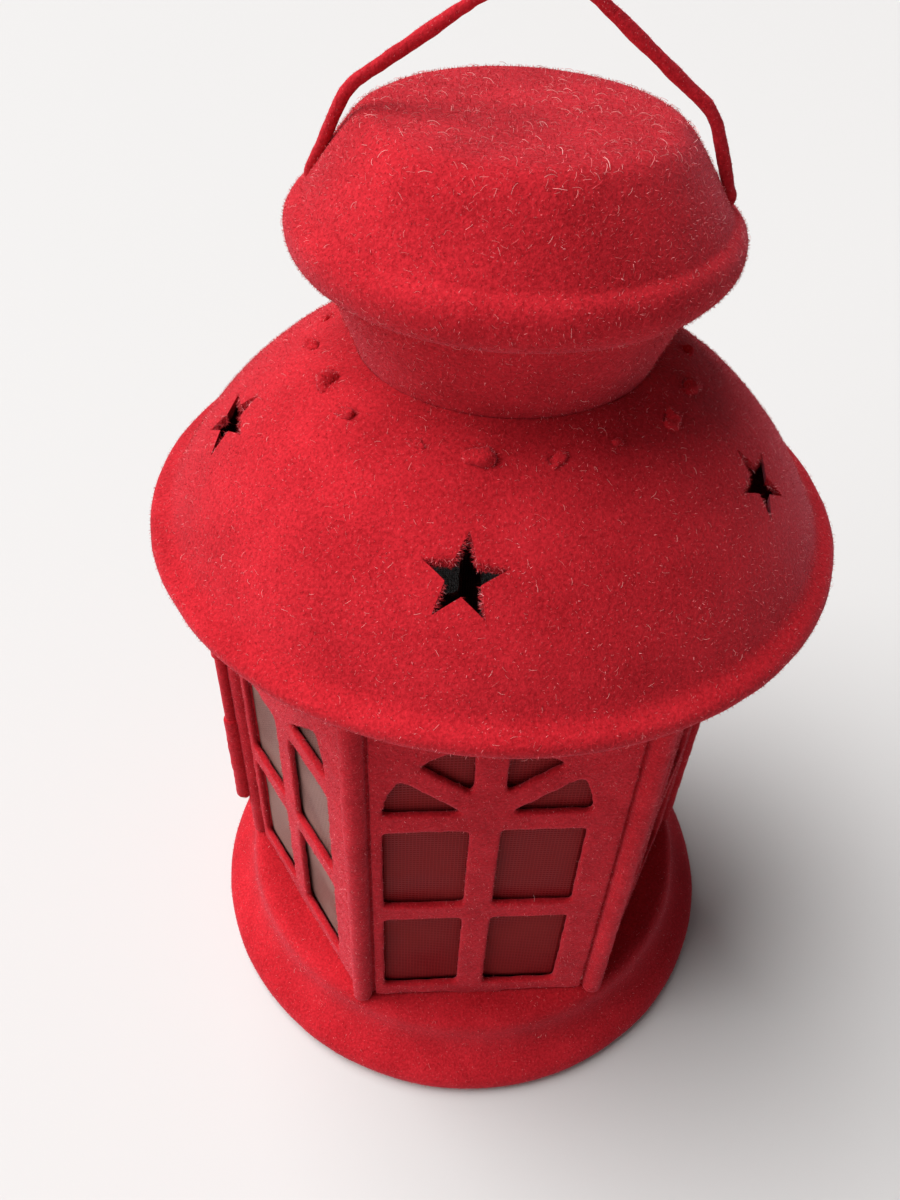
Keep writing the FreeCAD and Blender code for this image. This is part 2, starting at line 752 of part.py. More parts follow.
def make_neck():
    """Cone between roof and cap, with an out-turned flange inside each of them."""
    body = new_body("neck")
    sketch = new_sketch(body, "XZ_Plane", "neck_section")
    low = "throat_z - wall - neck_sink"
    at_low = f"neck_low - neck_slope * (throat_z - ({low}))"
    at_top = "neck_high + neck_slope * (wall + 2 * seat_gap)"
    top = "neck_top + wall + 2 * seat_gap"
    corners = [
        ("neck_low + neck_flange", f"{low} - wall"),
        ("neck_low + neck_flange", low),
        (at_low, low),
        (at_top, top),
        ("neck_high + neck_lip", top),
        ("neck_high + neck_lip", top + " + wall"),
        (f"{at_top} - wall", top + " + wall"),
        (f"{at_low} - wall", low),
        (f"{at_low} - wall", f"{low} - wall"),
    ]
    draw_path(sketch, corners)
    revolve(body, sketch)
    return body


def make_cap():
    """Closed cap with a rounded top edge and a rolled bead gripping the neck's flange."""
    body = new_body("cap")
    sketch = new_sketch(body, "XZ_Plane", "cap_section")
    bead = "neck_top + cap_bead_rise"
    corners = [
        ("0", "cap_top"),
        ("cap_flat", "cap_top"),
        ("cap_edge_r", "cap_top - cap_edge_drop"),
        ("cap_shoulder_r", "cap_top - cap_shoulder_drop"),
        ("cap_bead_radius", bead),
        ("cap_bead_radius - cap_bead_inset", "neck_top"),
        ("neck_high + 3 * seat_gap", "neck_top"),
        ("neck_high + 3 * seat_gap + neck_slope * wall", "neck_top + wall"),
        ("cap_bead_radius - cap_bead_inset - 0.3 * wall", "neck_top + wall"),
        ("cap_bead_radius - wall", bead),
        ("cap_shoulder_r - wall", "cap_top - cap_shoulder_drop"),
        ("cap_edge_r - 0.8 * wall", "cap_top - cap_edge_drop - 0.6 * wall"),
        ("cap_flat", "cap_top - wall"),
        ("0", "cap_top - wall"),
    ]
    arcs = {
        1: ("cap_edge_round", 1),
        2: ("cap_side_round", 1),
        3: ("cap_bead_round", 1),
        4: ("cap_bead_round", 1),
        8: ("cap_bead_round - wall", -1),
        9: ("cap_bead_round - wall", -1),
        10: ("cap_side_round - wall", -1),
        11: ("cap_edge_round - wall", -1),
    }
    draw_path(sketch, corners, arcs)
    revolve(body, sketch)
    hole = new_sketch(body, "YZ_Plane", "bail_hole", "cap_bead_radius + wall")
    draw_circle(hole, ("0", "pivot_z"), "bail_wire + bail_fit")
    pocket(body, hole, "2 * (cap_bead_radius + 2 * wall)")
    turn_about_z(body, size("bail_turn"))
    return body


def make_bail():
    """Wire handle: turned-in ends, steep legs, sloping shoulders and a rounded crown."""
    body = new_body("handle_bail")
    path = new_sketch(body, "XZ_Plane", "bail_path")
    crown_u = "bail_crown * sin(bail_slope)"
    crown_v = f"bail_kink_v + (bail_kink_u - {crown_u}) * tan(bail_slope)"
    half = [("bail_stub", "0"), ("bail_leg", "0"), ("bail_kink_u", "bail_kink_v"), (crown_u, crown_v)]
    corners = [(f"-({u})", v) for u, v in half] + half[::-1]
    draw_path(path, corners, {3: ("bail_crown", 1)}, closed=False)
    ring = new_sketch(body, "YZ_Plane", "bail_wire_section", "-bail_stub")
    draw_circle(ring, ("0", "0"), "bail_wire")
    pipe = body.newObject("PartDesign::AdditivePipe", "bail_pipe")
    pipe.Profile = ring
    pipe.Spine = path
    pipe.Transition = "Round corner"
    doc.recompute()
    lean = FreeCAD.Rotation(Vector(1, 0, 0), size("bail_lean"))
    turn = FreeCAD.Rotation(Vector(0, 0, 1), size("bail_turn"))
    body.Placement = FreeCAD.Placement(Vector(0, 0, size("pivot_z")), turn.multiply(lean))
    return body


# ---- assembly -------------------------------------------------------------------------------

PANEL_FOOT = "base_height + seat_gap"
PANEL_TOP = "roof_seat - seat_gap"
CORNERS = ["front_right", "right", "back_right", "back_left", "left", "front_left"]
SIDES = {"front": 0, "front_right": 60, "back_right": 120, "back": 180, "front_left": -60}


def make_all():
    pieces = [make_base_pan(), make_candle_cup(), make_cup_rivets()]
    for index, corner in enumerate(CORNERS):
        pieces.append(make_post("corner_post_" + corner, 60 * index - 60))
    for side, turn in SIDES.items():
        panel = make_panel("window_" + side, turn, PANEL_FOOT, PANEL_TOP, True, True)
        cut_panes(panel)
        pieces += [panel, make_film("film_" + side, turn)]
    pieces += [make_door(), make_film("film_door", DOOR_TURN)]
    pieces += [make_door_hinge_leaf(), make_leaf_rivets(), make_frame_knuckles(), make_hinge_pin()]
    pieces.append(make_panel("door_lintel", DOOR_TURN, "door_top + lintel_gap", PANEL_TOP, False, True))
    pieces += [make_button_stud(), make_turn_button()]
    pieces += [make_top_plate(), make_roof(), make_neck(), make_cap(), make_bail()]
    return pieces


def check_all(pieces):
    doc.recompute()
    for item in doc.Objects:
        if "Invalid" in item.State or "Error" in item.State:
            raise RuntimeError(item.Name + " failed: " + str(item.State))
    for piece in pieces:
        if piece.Shape.isNull() or not piece.Shape.isValid():
            raise RuntimeError(piece.Label + " has no valid shape")
        if not piece.Shape.Solids:
            raise RuntimeError(piece.Label + " has no solid")


def write_all(pieces):
    os.makedirs("parts", exist_ok=True)
    for piece in pieces:
        piece.Shape.exportStep("parts/" + piece.Label + ".step")
        box = piece.Shape.BoundBox
        print(f"{piece.Label:26s} solids {len(piece.Shape.Solids)}  volume {piece.Shape.Volume:9.1f}"
              f"  z {box.ZMin:7.2f} to {box.ZMax:7.2f}")


all_pieces = make_all()
check_all(all_pieces)
write_all(all_pieces)
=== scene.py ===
import json
import math

import bpy
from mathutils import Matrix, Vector


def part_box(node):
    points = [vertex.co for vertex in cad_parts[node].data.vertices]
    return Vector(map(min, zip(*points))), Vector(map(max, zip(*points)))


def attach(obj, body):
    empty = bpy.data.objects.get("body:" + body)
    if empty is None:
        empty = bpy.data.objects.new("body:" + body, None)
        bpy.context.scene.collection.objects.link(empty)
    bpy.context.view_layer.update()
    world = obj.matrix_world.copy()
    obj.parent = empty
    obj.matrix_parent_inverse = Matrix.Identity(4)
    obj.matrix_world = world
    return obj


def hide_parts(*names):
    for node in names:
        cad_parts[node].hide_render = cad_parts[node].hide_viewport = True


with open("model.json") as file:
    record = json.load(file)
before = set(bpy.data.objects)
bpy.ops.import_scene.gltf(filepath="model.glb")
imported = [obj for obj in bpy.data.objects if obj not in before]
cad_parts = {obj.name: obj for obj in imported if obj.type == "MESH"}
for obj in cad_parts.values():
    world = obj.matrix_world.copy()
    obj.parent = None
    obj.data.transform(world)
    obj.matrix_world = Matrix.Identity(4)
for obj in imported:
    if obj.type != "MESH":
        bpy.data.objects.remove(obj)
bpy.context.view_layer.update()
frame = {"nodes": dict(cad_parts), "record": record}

MM = 0.001


# ---- Room: camera, floor, wall-less studio light ----------------------------------------------
# The lantern stands on a plain pale table top and is seen from above and in front,
# with one broad lamp high on the left and a weak fill from the front right.

def node_input(node, name, value):
    node.inputs[name].default_value = value


def look_from(thing, spot, target):
    thing.location = spot
    thing.rotation_euler = (Vector(target) - Vector(spot)).to_track_quat("-Z", "Y").to_euler()


CAMERA_SPOT = (-0.0197, -0.1439, 0.2319)
CAMERA_TURN = (46.57, -2.12, -3.14)
camera_data = bpy.data.cameras.new("view")
camera_data.sensor_width = 36
camera_data.lens = 29.4
camera_data.clip_start = 0.01
camera = bpy.data.objects.new("view", camera_data)
camera.location = CAMERA_SPOT
camera.rotation_euler = [math.radians(angle) for angle in CAMERA_TURN]
bpy.context.scene.collection.objects.link(camera)
bpy.context.scene.camera = camera


def broad_lamp(name, aim_from, strength, spread, colour):
    """A far-off broad lamp, so that the table is lit evenly; spread is its width in degrees."""
    lamp_data = bpy.data.lights.new(name, "SUN")
    lamp_data.energy = strength
    lamp_data.angle = math.radians(spread)
    lamp_data.color = colour
    lamp = bpy.data.objects.new(name, lamp_data)
    look_from(lamp, aim_from, (0.0, 0.0, 0.0))
    bpy.context.scene.collection.objects.link(lamp)


broad_lamp("left_lamp", (-0.60, 0.20, 1.0), 4.7, 58, (1.0, 0.98, 0.97))
broad_lamp("low_left_lamp", (-1.0, -0.45, 0.32), 1.2, 56, (1.0, 0.98, 0.97))
broad_lamp("front_fill", (-0.55, -1.0, 0.5), 0.16, 70, (1.0, 0.98, 0.97))

world = bpy.data.worlds.new("studio")
world.use_nodes = True
node_input(world.node_tree.nodes["Background"], "Color", (1.0, 1.0, 1.0, 1.0))
seen_or_lighting = world.node_tree.nodes.new("ShaderNodeLightPath")
wall_light = world.node_tree.nodes.new("ShaderNodeMapRange")
node_input(wall_light, "To Min", 0.10)
node_input(wall_light, "To Max", 0.86)
world.node_tree.links.new(seen_or_lighting.outputs["Is Camera Ray"], wall_light.inputs["Value"])
world.node_tree.links.new(wall_light.outputs["Result"],
                          world.node_tree.nodes["Background"].inputs["Strength"])
bpy.context.scene.world = world
bpy.context.scene.view_settings.view_transform = "Standard"

floor_paint = bpy.data.materials.new("pale_table")
floor_paint.use_nodes = True
node_input(floor_paint.node_tree.nodes["Principled BSDF"], "Base Color", (0.60, 0.60, 0.60, 1.0))
node_input(floor_paint.node_tree.nodes["Principled BSDF"], "Roughness", 0.8)
bpy.ops.object.select_all(action="DESELECT")
bpy.ops.mesh.primitive_plane_add(size=6.0, location=(0.0, 0.0, 0.0))
table_top = bpy.context.object
table_top.name = "table_top"
table_top.data.materials.append(floor_paint)


# ---- Flocked coat --------------------------------------------------------------------------
# Every pressed piece is dipped in glue and blown with short red nylon pile: a velvety matt coat
# about half a millimetre deep, paler where it stands to the light, with stray pale fibres.

PILE_DEEP = (0.32, 0.005, 0.010, 1.0)
PILE_LIT = (0.57, 0.017, 0.028, 1.0)
# Painted glint colour: bright specks and fibres coloured as if catching the light.
PILE_PAINTED_GLINT = (0.95, 0.36, 0.38, 1.0)
PILE_SHEEN = (1.0, 0.30, 0.40, 1.0)


def open_group(name, kind, sockets):
    group = bpy.data.node_groups.new(name, kind)
    for side, label, socket_type, value in sockets:
        socket = group.interface.new_socket(label, in_out=side, socket_type=socket_type)
        if value is not None:
            socket.default_value = value
    return group, group.nodes.new("NodeGroupInput"), group.nodes.new("NodeGroupOutput")


def make_flock_grain():
    """Node group: grain, clouding and painted glints (bright specks coloured as fibres catching the
    light) of a flocked coat, and its height.
    """
    group, given, made = open_group("flock_grain", "ShaderNodeTree", [
        ("INPUT", "Deep", "NodeSocketColor", PILE_DEEP),
        ("INPUT", "Lit", "NodeSocketColor", PILE_LIT),
        ("INPUT", "Glint colour", "NodeSocketColor", PILE_PAINTED_GLINT),
        ("INPUT", "Grain", "NodeSocketFloat", 1500.0),
        ("INPUT", "Clouding", "NodeSocketFloat", 90.0),
        ("INPUT", "Painted glints", "NodeSocketFloat", 0.5),
        ("OUTPUT", "Color", "NodeSocketColor", None),
        ("OUTPUT", "Height", "NodeSocketFloat", None),
    ])
    nodes, links = group.nodes, group.links
    place = nodes.new("ShaderNodeTexCoord")
    grain = nodes.new("ShaderNodeTexNoise")
    node_input(grain, "Detail", 3.0)
    node_input(grain, "Roughness", 0.62)
    links.new(place.outputs["Object"], grain.inputs["Vector"])
    links.new(given.outputs["Grain"], grain.inputs["Scale"])
    cloud = nodes.new("ShaderNodeTexNoise")
    node_input(cloud, "Detail", 2.0)
    links.new(place.outputs["Object"], cloud.inputs["Vector"])
    links.new(given.outputs["Clouding"], cloud.inputs["Scale"])
    both = nodes.new("ShaderNodeMath")
    both.operation = "MULTIPLY_ADD"
    both.inputs[1].default_value = 0.45
    links.new(cloud.outputs["Fac"], both.inputs[0])
    links.new(grain.outputs["Fac"], both.inputs[2])
    spread = nodes.new("ShaderNodeMapRange")
    node_input(spread, "From Min", 0.5)
    node_input(spread, "From Max", 0.95)
    links.new(both.outputs["Value"], spread.inputs["Value"])
    body = nodes.new("ShaderNodeMix")
    body.data_type = "RGBA"
    links.new(spread.outputs["Result"], body.inputs["Factor"])
    links.new(given.outputs["Deep"], body.inputs["A"])
    links.new(given.outputs["Lit"], body.inputs["B"])
    # Painted glints: a few bright cells, coloured as if single fibres catch the light.
    cells = nodes.new("ShaderNodeTexVoronoi")
    node_input(cells, "Scale", 2300.0)
    links.new(place.outputs["Object"], cells.inputs["Vector"])
    glint_spots = nodes.new("ShaderNodeMapRange")
    node_input(glint_spots, "From Min", 0.30)
    node_input(glint_spots, "From Max", 0.12)
    links.new(cells.outputs["Distance"], glint_spots.inputs["Value"])
    chosen = nodes.new("ShaderNodeSeparateColor")
    links.new(cells.outputs["Color"], chosen.inputs["Color"])
    few = nodes.new("ShaderNodeMapRange")
    node_input(few, "From Min", 0.80)
    node_input(few, "From Max", 1.0)
    links.new(chosen.outputs["Red"], few.inputs["Value"])
    strength = nodes.new("ShaderNodeMath")
    strength.operation = "MULTIPLY"
    links.new(glint_spots.outputs["Result"], strength.inputs[0])
    links.new(few.outputs["Result"], strength.inputs[1])
    amount = nodes.new("ShaderNodeMath")
    amount.operation = "MULTIPLY"
    links.new(strength.outputs["Value"], amount.inputs[0])
    links.new(given.outputs["Painted glints"], amount.inputs[1])
    glinted = nodes.new("ShaderNodeMix")
    glinted.data_type = "RGBA"
    links.new(amount.outputs["Value"], glinted.inputs["Factor"])
    links.new(body.outputs["Result"], glinted.inputs["A"])
    links.new(given.outputs["Glint colour"], glinted.inputs["B"])
    links.new(glinted.outputs["Result"], made.inputs["Color"])
    links.new(grain.outputs["Fac"], made.inputs["Height"])
    return group


flock_grain = make_flock_grain()


def make_flock_coat(name, grain_size, glint_share):
    coat = bpy.data.materials.new(name)
    coat.use_nodes = True
    nodes, links = coat.node_tree.nodes, coat.node_tree.links
    shader = nodes["Principled BSDF"]
    node_input(shader, "Roughness", 0.95)
    node_input(shader, "Specular IOR Level", 0.12)
    node_input(shader, "Sheen Weight", 0.27)
    node_input(shader, "Sheen Roughness", 0.42)
    node_input(shader, "Sheen Tint", PILE_SHEEN)
    grain = nodes.new("ShaderNodeGroup")
    grain.node_tree = flock_grain
    node_input(grain, "Grain", grain_size)
    node_input(grain, "Painted glints", glint_share)
    bump = nodes.new("ShaderNodeBump")
    node_input(bump, "Strength", 0.4)
    node_input(bump, "Distance", 0.0006)
    links.new(grain.outputs["Color"], shader.inputs["Base Color"])
    links.new(grain.outputs["Height"], bump.inputs["Height"])
    links.new(bump.outputs["Normal"], shader.inputs["Normal"])
    return coat


flock_coat = make_flock_coat("red_flock_coat", 1900.0, 0.25)


def apply_all(piece):
    """Applies every modifier on a piece, top one first."""
    bpy.ops.object.select_all(action="DESELECT")
    piece.select_set(True)
    bpy.context.view_layer.objects.active = piece
    for name in [modifier.name for modifier in piece.modifiers]:
        bpy.ops.object.modifier_apply(modifier=name)


def soft_texture(name, size, depth=2):
    texture = bpy.data.textures.new(name, "CLOUDS")
    texture.noise_scale = size
    texture.noise_depth = depth
    return texture


broad_unevenness = soft_texture("broad_unevenness", 0.012)
pile_tufts = soft_texture("pile_tufts", 0.0016, 1)


def uneven(piece, texture, strength):
    """Pushes the coat in and out along its normals by a soft noise."""
    push = piece.modifiers.new("unevenness", "DISPLACE")
    push.texture = texture
    push.texture_coords = "LOCAL"
    push.mid_level = 0.5
    push.strength = strength


def make_fibre():
    """One tapering fibre of the pile, four faces, standing on its root."""
    bpy.ops.object.select_all(action="DESELECT")
    bpy.ops.mesh.primitive_circle_add(vertices=3, radius=0.05 * MM, fill_type="NGON",
                                      location=(0.0, 0.0, -0.10 * MM))
    fibre = bpy.context.object
    fibre.name = "pile_fibre"
    bpy.ops.object.mode_set(mode="EDIT")
    bpy.ops.mesh.select_all(action="SELECT")
    bpy.ops.mesh.extrude_region_move(TRANSFORM_OT_translate={"value": (0.15 * MM, 0.0, 0.60 * MM)})
    bpy.ops.mesh.merge(type="CENTER")
    bpy.ops.mesh.select_all(action="SELECT")
    bpy.ops.mesh.normals_make_consistent(inside=False)
    bpy.ops.object.mode_set(mode="OBJECT")
    bpy.ops.object.transform_apply(location=True, rotation=True, scale=True)
    return fibre


pile_fibre = make_fibre()


def make_lint():
    """A loose curled thread lying on the coat, three-sided, in four short runs."""
    bpy.ops.object.select_all(action="DESELECT")
    bpy.ops.mesh.primitive_circle_add(vertices=3, radius=0.020 * MM, fill_type="NGON",
                                      rotation=(0.0, math.pi / 2, 0.0))
    lint = bpy.context.object
    lint.name = "lint_thread"
    bpy.ops.object.mode_set(mode="EDIT")
    bpy.ops.mesh.select_all(action="SELECT")
    for along, aside, up in ((0.30, 0.02, 0.20), (0.34, 0.06, 0.10), (0.32, 0.10, -0.02),
                             (0.28, 0.13, -0.07)):
        run = (along * MM, aside * MM, up * MM)
        bpy.ops.mesh.extrude_region_move(TRANSFORM_OT_translate={"value": run})
    bpy.ops.mesh.select_all(action="SELECT")
    bpy.ops.mesh.normals_make_consistent(inside=False)
    bpy.ops.object.mode_set(mode="OBJECT")
    bpy.ops.object.transform_apply(location=True, rotation=True, scale=True)
    return lint


lint_thread = make_lint()


def make_fibre_paint(name, dull, bright, turn):
    """Fibres take their tone from the number each one was given when it was scattered. The pile's bright
    end is a painted glint; the lint's is its own pale colour.
    """
    paint = bpy.data.materials.new(name)
    paint.use_nodes = True
    nodes, links = paint.node_tree.nodes, paint.node_tree.links
    shader = nodes["Principled BSDF"]
    node_input(shader, "Roughness", 0.7)
    node_input(shader, "Specular IOR Level", 0.3)
    node_input(shader, "Sheen Weight", 0.15)
    node_input(shader, "Sheen Tint", PILE_SHEEN)
    tone = nodes.new("ShaderNodeAttribute")
    tone.attribute_name = "fibre_tone"
    ramp = nodes.new("ShaderNodeValToRGB")
    ramp.color_ramp.elements[0].position = 0.0
    ramp.color_ramp.elements[0].color = dull
    ramp.color_ramp.elements[1].position = 1.0
    ramp.color_ramp.elements[1].color = bright
    middle = ramp.color_ramp.elements.new(turn)
    middle.color = PILE_LIT
    links.new(tone.outputs["Fac"], ramp.inputs["Fac"])
    links.new(ramp.outputs["Color"], shader.inputs["Base Color"])
    return paint


# The bright end of the pile fibres' tones is a painted glint: fibres coloured as if catching the light.
pile_paint = make_fibre_paint("red_pile_fibres", PILE_DEEP, PILE_PAINTED_GLINT, 0.80)
lint_paint = make_fibre_paint("pale_lint", (0.62, 0.03, 0.05, 1.0), (0.90, 0.50, 0.48, 1.0), 0.30)


def make_scatter():
    """Geometry nodes: fibres stood all over the outside of a piece, leaning at random."""
    group, given, made = open_group("stand_fibres", "GeometryNodeTree", [
        ("INPUT", "Geometry", "NodeSocketGeometry", None),
        ("INPUT", "Host", "NodeSocketObject", None),
        ("INPUT", "Fibre", "NodeSocketObject", None),
        ("INPUT", "Density", "NodeSocketFloat", None),
        ("INPUT", "Seed", "NodeSocketInt", None),
        ("INPUT", "Lean", "NodeSocketFloat", None),
        ("INPUT", "Shortest", "NodeSocketFloat", None),
        ("INPUT", "Longest", "NodeSocketFloat", None),
        ("INPUT", "Lowest", "NodeSocketFloat", None),
        ("INPUT", "Paint", "NodeSocketMaterial", None),
        ("OUTPUT", "Geometry", "NodeSocketGeometry", None),
    ])
    nodes, links = group.nodes, group.links

    def math_node(operation, first, second):
        node = nodes.new("ShaderNodeMath")
        node.operation = operation
        for socket, value in zip(node.inputs, (first, second)):
            if isinstance(value, (int, float)):
                socket.default_value = value
            else:
                links.new(value, socket)
        return node.outputs["Value"]

    host = nodes.new("GeometryNodeObjectInfo")
    links.new(given.outputs["Host"], host.inputs["Object"])
    fibre = nodes.new("GeometryNodeObjectInfo")
    links.new(given.outputs["Fibre"], fibre.inputs["Object"])
    place = nodes.new("GeometryNodeInputPosition")
    normal = nodes.new("GeometryNodeInputNormal")
    flat = nodes.new("ShaderNodeVectorMath")
    flat.operation = "MULTIPLY"
    flat.inputs[1].default_value = (1.0, 1.0, 0.0)
    links.new(place.outputs["Position"], flat.inputs[0])
    outward = nodes.new("ShaderNodeVectorMath")
    outward.operation = "NORMALIZE"
    links.new(flat.outputs["Vector"], outward.inputs[0])
    facing = nodes.new("ShaderNodeVectorMath")
    facing.operation = "DOT_PRODUCT"
    links.new(outward.outputs["Vector"], facing.inputs[0])
    links.new(normal.outputs["Normal"], facing.inputs[1])
    apart = nodes.new("ShaderNodeSeparateXYZ")
    links.new(normal.outputs["Normal"], apart.inputs["Vector"])
    height = nodes.new("ShaderNodeSeparateXYZ")
    links.new(place.outputs["Position"], height.inputs["Vector"])
    shown = math_node("ADD", facing.outputs["Value"], apart.outputs["Z"])
    outside = math_node("GREATER_THAN", shown, -0.35)
    above = math_node("GREATER_THAN", height.outputs["Z"], given.outputs["Lowest"])
    wanted = math_node("MULTIPLY", outside, above)
    thick = math_node("MULTIPLY", wanted, given.outputs["Density"])
    points = nodes.new("GeometryNodeDistributePointsOnFaces")
    links.new(host.outputs["Geometry"], points.inputs["Mesh"])
    links.new(thick, points.inputs["Density"])
    links.new(given.outputs["Seed"], points.inputs["Seed"])

    lean = nodes.new("FunctionNodeRandomValue")
    lean.data_type = "FLOAT_VECTOR"
    wide = nodes.new("ShaderNodeCombineXYZ")
    links.new(given.outputs["Lean"], wide.inputs["X"])
    links.new(given.outputs["Lean"], wide.inputs["Y"])
    node_input(wide, "Z", math.pi)
    back = nodes.new("ShaderNodeVectorMath")
    back.operation = "SCALE"
    node_input(back, "Scale", -1.0)
    links.new(wide.outputs["Vector"], back.inputs[0])
    links.new(back.outputs["Vector"], lean.inputs["Min"])
    links.new(wide.outputs["Vector"], lean.inputs["Max"])
    links.new(given.outputs["Seed"], lean.inputs["Seed"])
    turn = nodes.new("FunctionNodeEulerToRotation")
    links.new(lean.outputs["Value"], turn.inputs["Euler"])
    tilt = nodes.new("FunctionNodeRotateRotation")
    tilt.rotation_space = "LOCAL"
    links.new(points.outputs["Rotation"], tilt.inputs["Rotation"])
    links.new(turn.outputs["Rotation"], tilt.inputs["Rotate By"])

    length = nodes.new("FunctionNodeRandomValue")
    length.data_type = "FLOAT"
    links.new(given.outputs["Shortest"], length.inputs[2])
    links.new(given.outputs["Longest"], length.inputs[3])
    links.new(math_node("ADD", given.outputs["Seed"], 7), length.inputs["Seed"])
    tone = nodes.new("FunctionNodeRandomValue")
    tone.data_type = "FLOAT"
    links.new(math_node("ADD", given.outputs["Seed"], 13), tone.inputs["Seed"])

    stand = nodes.new("GeometryNodeInstanceOnPoints")
    links.new(points.outputs["Points"], stand.inputs["Points"])
    links.new(fibre.outputs["Geometry"], stand.inputs["Instance"])
    links.new(tilt.outputs["Rotation"], stand.inputs["Rotation"])
    links.new(length.outputs[1], stand.inputs["Scale"])
    mark = nodes.new("GeometryNodeStoreNamedAttribute")
    mark.data_type = "FLOAT"
    mark.domain = "INSTANCE"
    node_input(mark, "Name", "fibre_tone")
    links.new(stand.outputs["Instances"], mark.inputs["Geometry"])
    links.new(tone.outputs[1], mark.inputs["Value"])
    real = nodes.new("GeometryNodeRealizeInstances")
    links.new(mark.outputs["Geometry"], real.inputs["Geometry"])
    paint = nodes.new("GeometryNodeSetMaterial")
    links.new(real.outputs["Geometry"], paint.inputs["Geometry"])
    links.new(given.outputs["Paint"], paint.inputs["Material"])
    links.new(paint.outputs["Geometry"], made.inputs["Geometry"])
    return group


stand_fibres = make_scatter()
fibre_seed = 0


def add_pile(name, host, body, per_square_mm, lean=0.7, shortest=0.6, longest=1.25, lowest=0.0,
             fibre=None, paint=None):
    """A separate piece of loose fibres standing on a host piece, riding with it."""
    global fibre_seed
    fibre_seed += 1
    bpy.ops.object.select_all(action="DESELECT")
    bpy.ops.mesh.primitive_plane_add(size=MM)
    pile = bpy.context.object
    pile.name = name
    scatter = pile.modifiers.new("stand", "NODES")
    scatter.node_group = stand_fibres
    values = {"Host": host, "Fibre": fibre or pile_fibre, "Density": per_square_mm * 1e6,
              "Seed": fibre_seed, "Lean": lean, "Shortest": shortest, "Longest": longest,
              "Lowest": lowest, "Paint": paint or pile_paint}
    for item in stand_fibres.interface.items_tree:
        if item.in_out == "INPUT" and item.name in values:
            scatter[item.identifier] = values[item.name]
    apply_all(pile)
    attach(pile, body)
    return pile


# ---- Base pan ------------------------------------------------------------------------------
# An upside-down pressed steel dish: flat floor, short collar, flared skirt and a rolled hem
# that the lantern stands on. Pressed in one blow, hem curled under, then flocked.

def in_fixed_order(shell):
    """Merging and cutting leave a chance order; a fixed one makes fibres fall alike each time."""
    found = [tuple(point.co) for point in shell.data.vertices]
    order = sorted(range(len(found)), key=lambda index: found[index])
    points = [found[index] for index in order]
    place = {old: new for new, old in enumerate(order)}
    faces = []
    for face in shell.data.polygons:
        corners = [place[index] for index in face.vertices]
        first = corners.index(min(corners))
        faces.append(corners[first:] + corners[:first])
    ordered = bpy.data.meshes.new(shell.name)
    ordered.from_pydata(points, [], sorted(faces))
    shell.data = ordered


def turned_sheet(name, stations, steps=72):
    """Spins a line of (radius, height) stations in millimetres into a thin round shell."""
    bpy.ops.object.select_all(action="DESELECT")
    radius, height = stations[0]
    bpy.ops.mesh.primitive_plane_add(size=0.1 * MM, location=(radius * MM, 0.0, height * MM))
    shell = bpy.context.object
    shell.name = name
    bpy.ops.object.mode_set(mode="EDIT")
    bpy.ops.mesh.select_all(action="SELECT")
    bpy.ops.mesh.merge(type="CENTER")
    for next_radius, next_height in stations[1:]:
        step = ((next_radius - radius) * MM, 0.0, (next_height - height) * MM)
        bpy.ops.mesh.extrude_region_move(TRANSFORM_OT_translate={"value": step})
        radius, height = next_radius, next_height
    bpy.ops.mesh.select_all(action="SELECT")
    bpy.ops.mesh.spin(steps=steps, angle=2 * math.pi, center=(0.0, 0.0, 0.0), axis=(0.0, 0.0, 1.0))
    bpy.ops.mesh.select_all(action="SELECT")
    bpy.ops.mesh.remove_doubles(threshold=0.01 * MM)
    bpy.ops.mesh.normals_make_consistent(inside=False)
    bpy.ops.object.mode_set(mode="OBJECT")
    bpy.ops.object.transform_apply(location=True, rotation=True, scale=True)
    in_fixed_order(shell)
    return shell


def faces_outward(shell, place, outward):
    """Turns a shell's faces over if the one nearest to a place looks the wrong way."""
    nearest = min(shell.data.polygons, key=lambda face: (face.center - Vector(place)).length)
    if nearest.normal.dot(Vector(outward)) < 0:
        shell.data.flip_normals()


def thicken(shell, thickness):
    """Gives a pressed sheet its wall, inwards from the outer face."""
    wall = shell.modifiers.new("wall", "SOLIDIFY")
    wall.thickness = thickness
    wall.offset = -1.0
    wall.use_rim = True


def smooth(shell, levels):
    soft = shell.modifiers.new("soft", "SUBSURF")
    soft.levels = levels
    soft.render_levels = levels


WALL = 1.0
PAN_LINE = [(0.0, 17.0), (12.0, 17.0), (24.0, 17.0), (36.0, 17.0), (46.0, 17.0), (50.6, 17.0),
            (52.4, 16.5), (53.4, 15.2), (53.7, 13.4), (54.0, 11.6), (54.8, 9.8), (56.2, 8.1),
            (57.8, 6.9), (59.6, 5.6), (60.7, 4.2), (61.1, 2.7), (60.5, 1.3), (59.2, 0.5),
            (57.9, 0.25), (56.8, 0.5)]

base_shell = turned_sheet("base_pan_flocked", PAN_LINE)
faces_outward(base_shell, (0.061, 0.0, 0.003), (1.0, 0.0, 0.0))
smooth(base_shell, 2)
thicken(base_shell, WALL * MM)
uneven(base_shell, broad_unevenness, 0.35 * MM)
apply_all(base_shell)
bpy.ops.object.shade_smooth()
base_shell.data.materials.append(flock_coat)
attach(base_shell, "lantern")
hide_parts("base_pan")


# ---- Candle ring and its rivets ------------------------------------------------------------
# A low tinned-steel ring with a flat foot, held to the floor by three rivets. It is left bare,
# with faint brushing and dull heat stains.

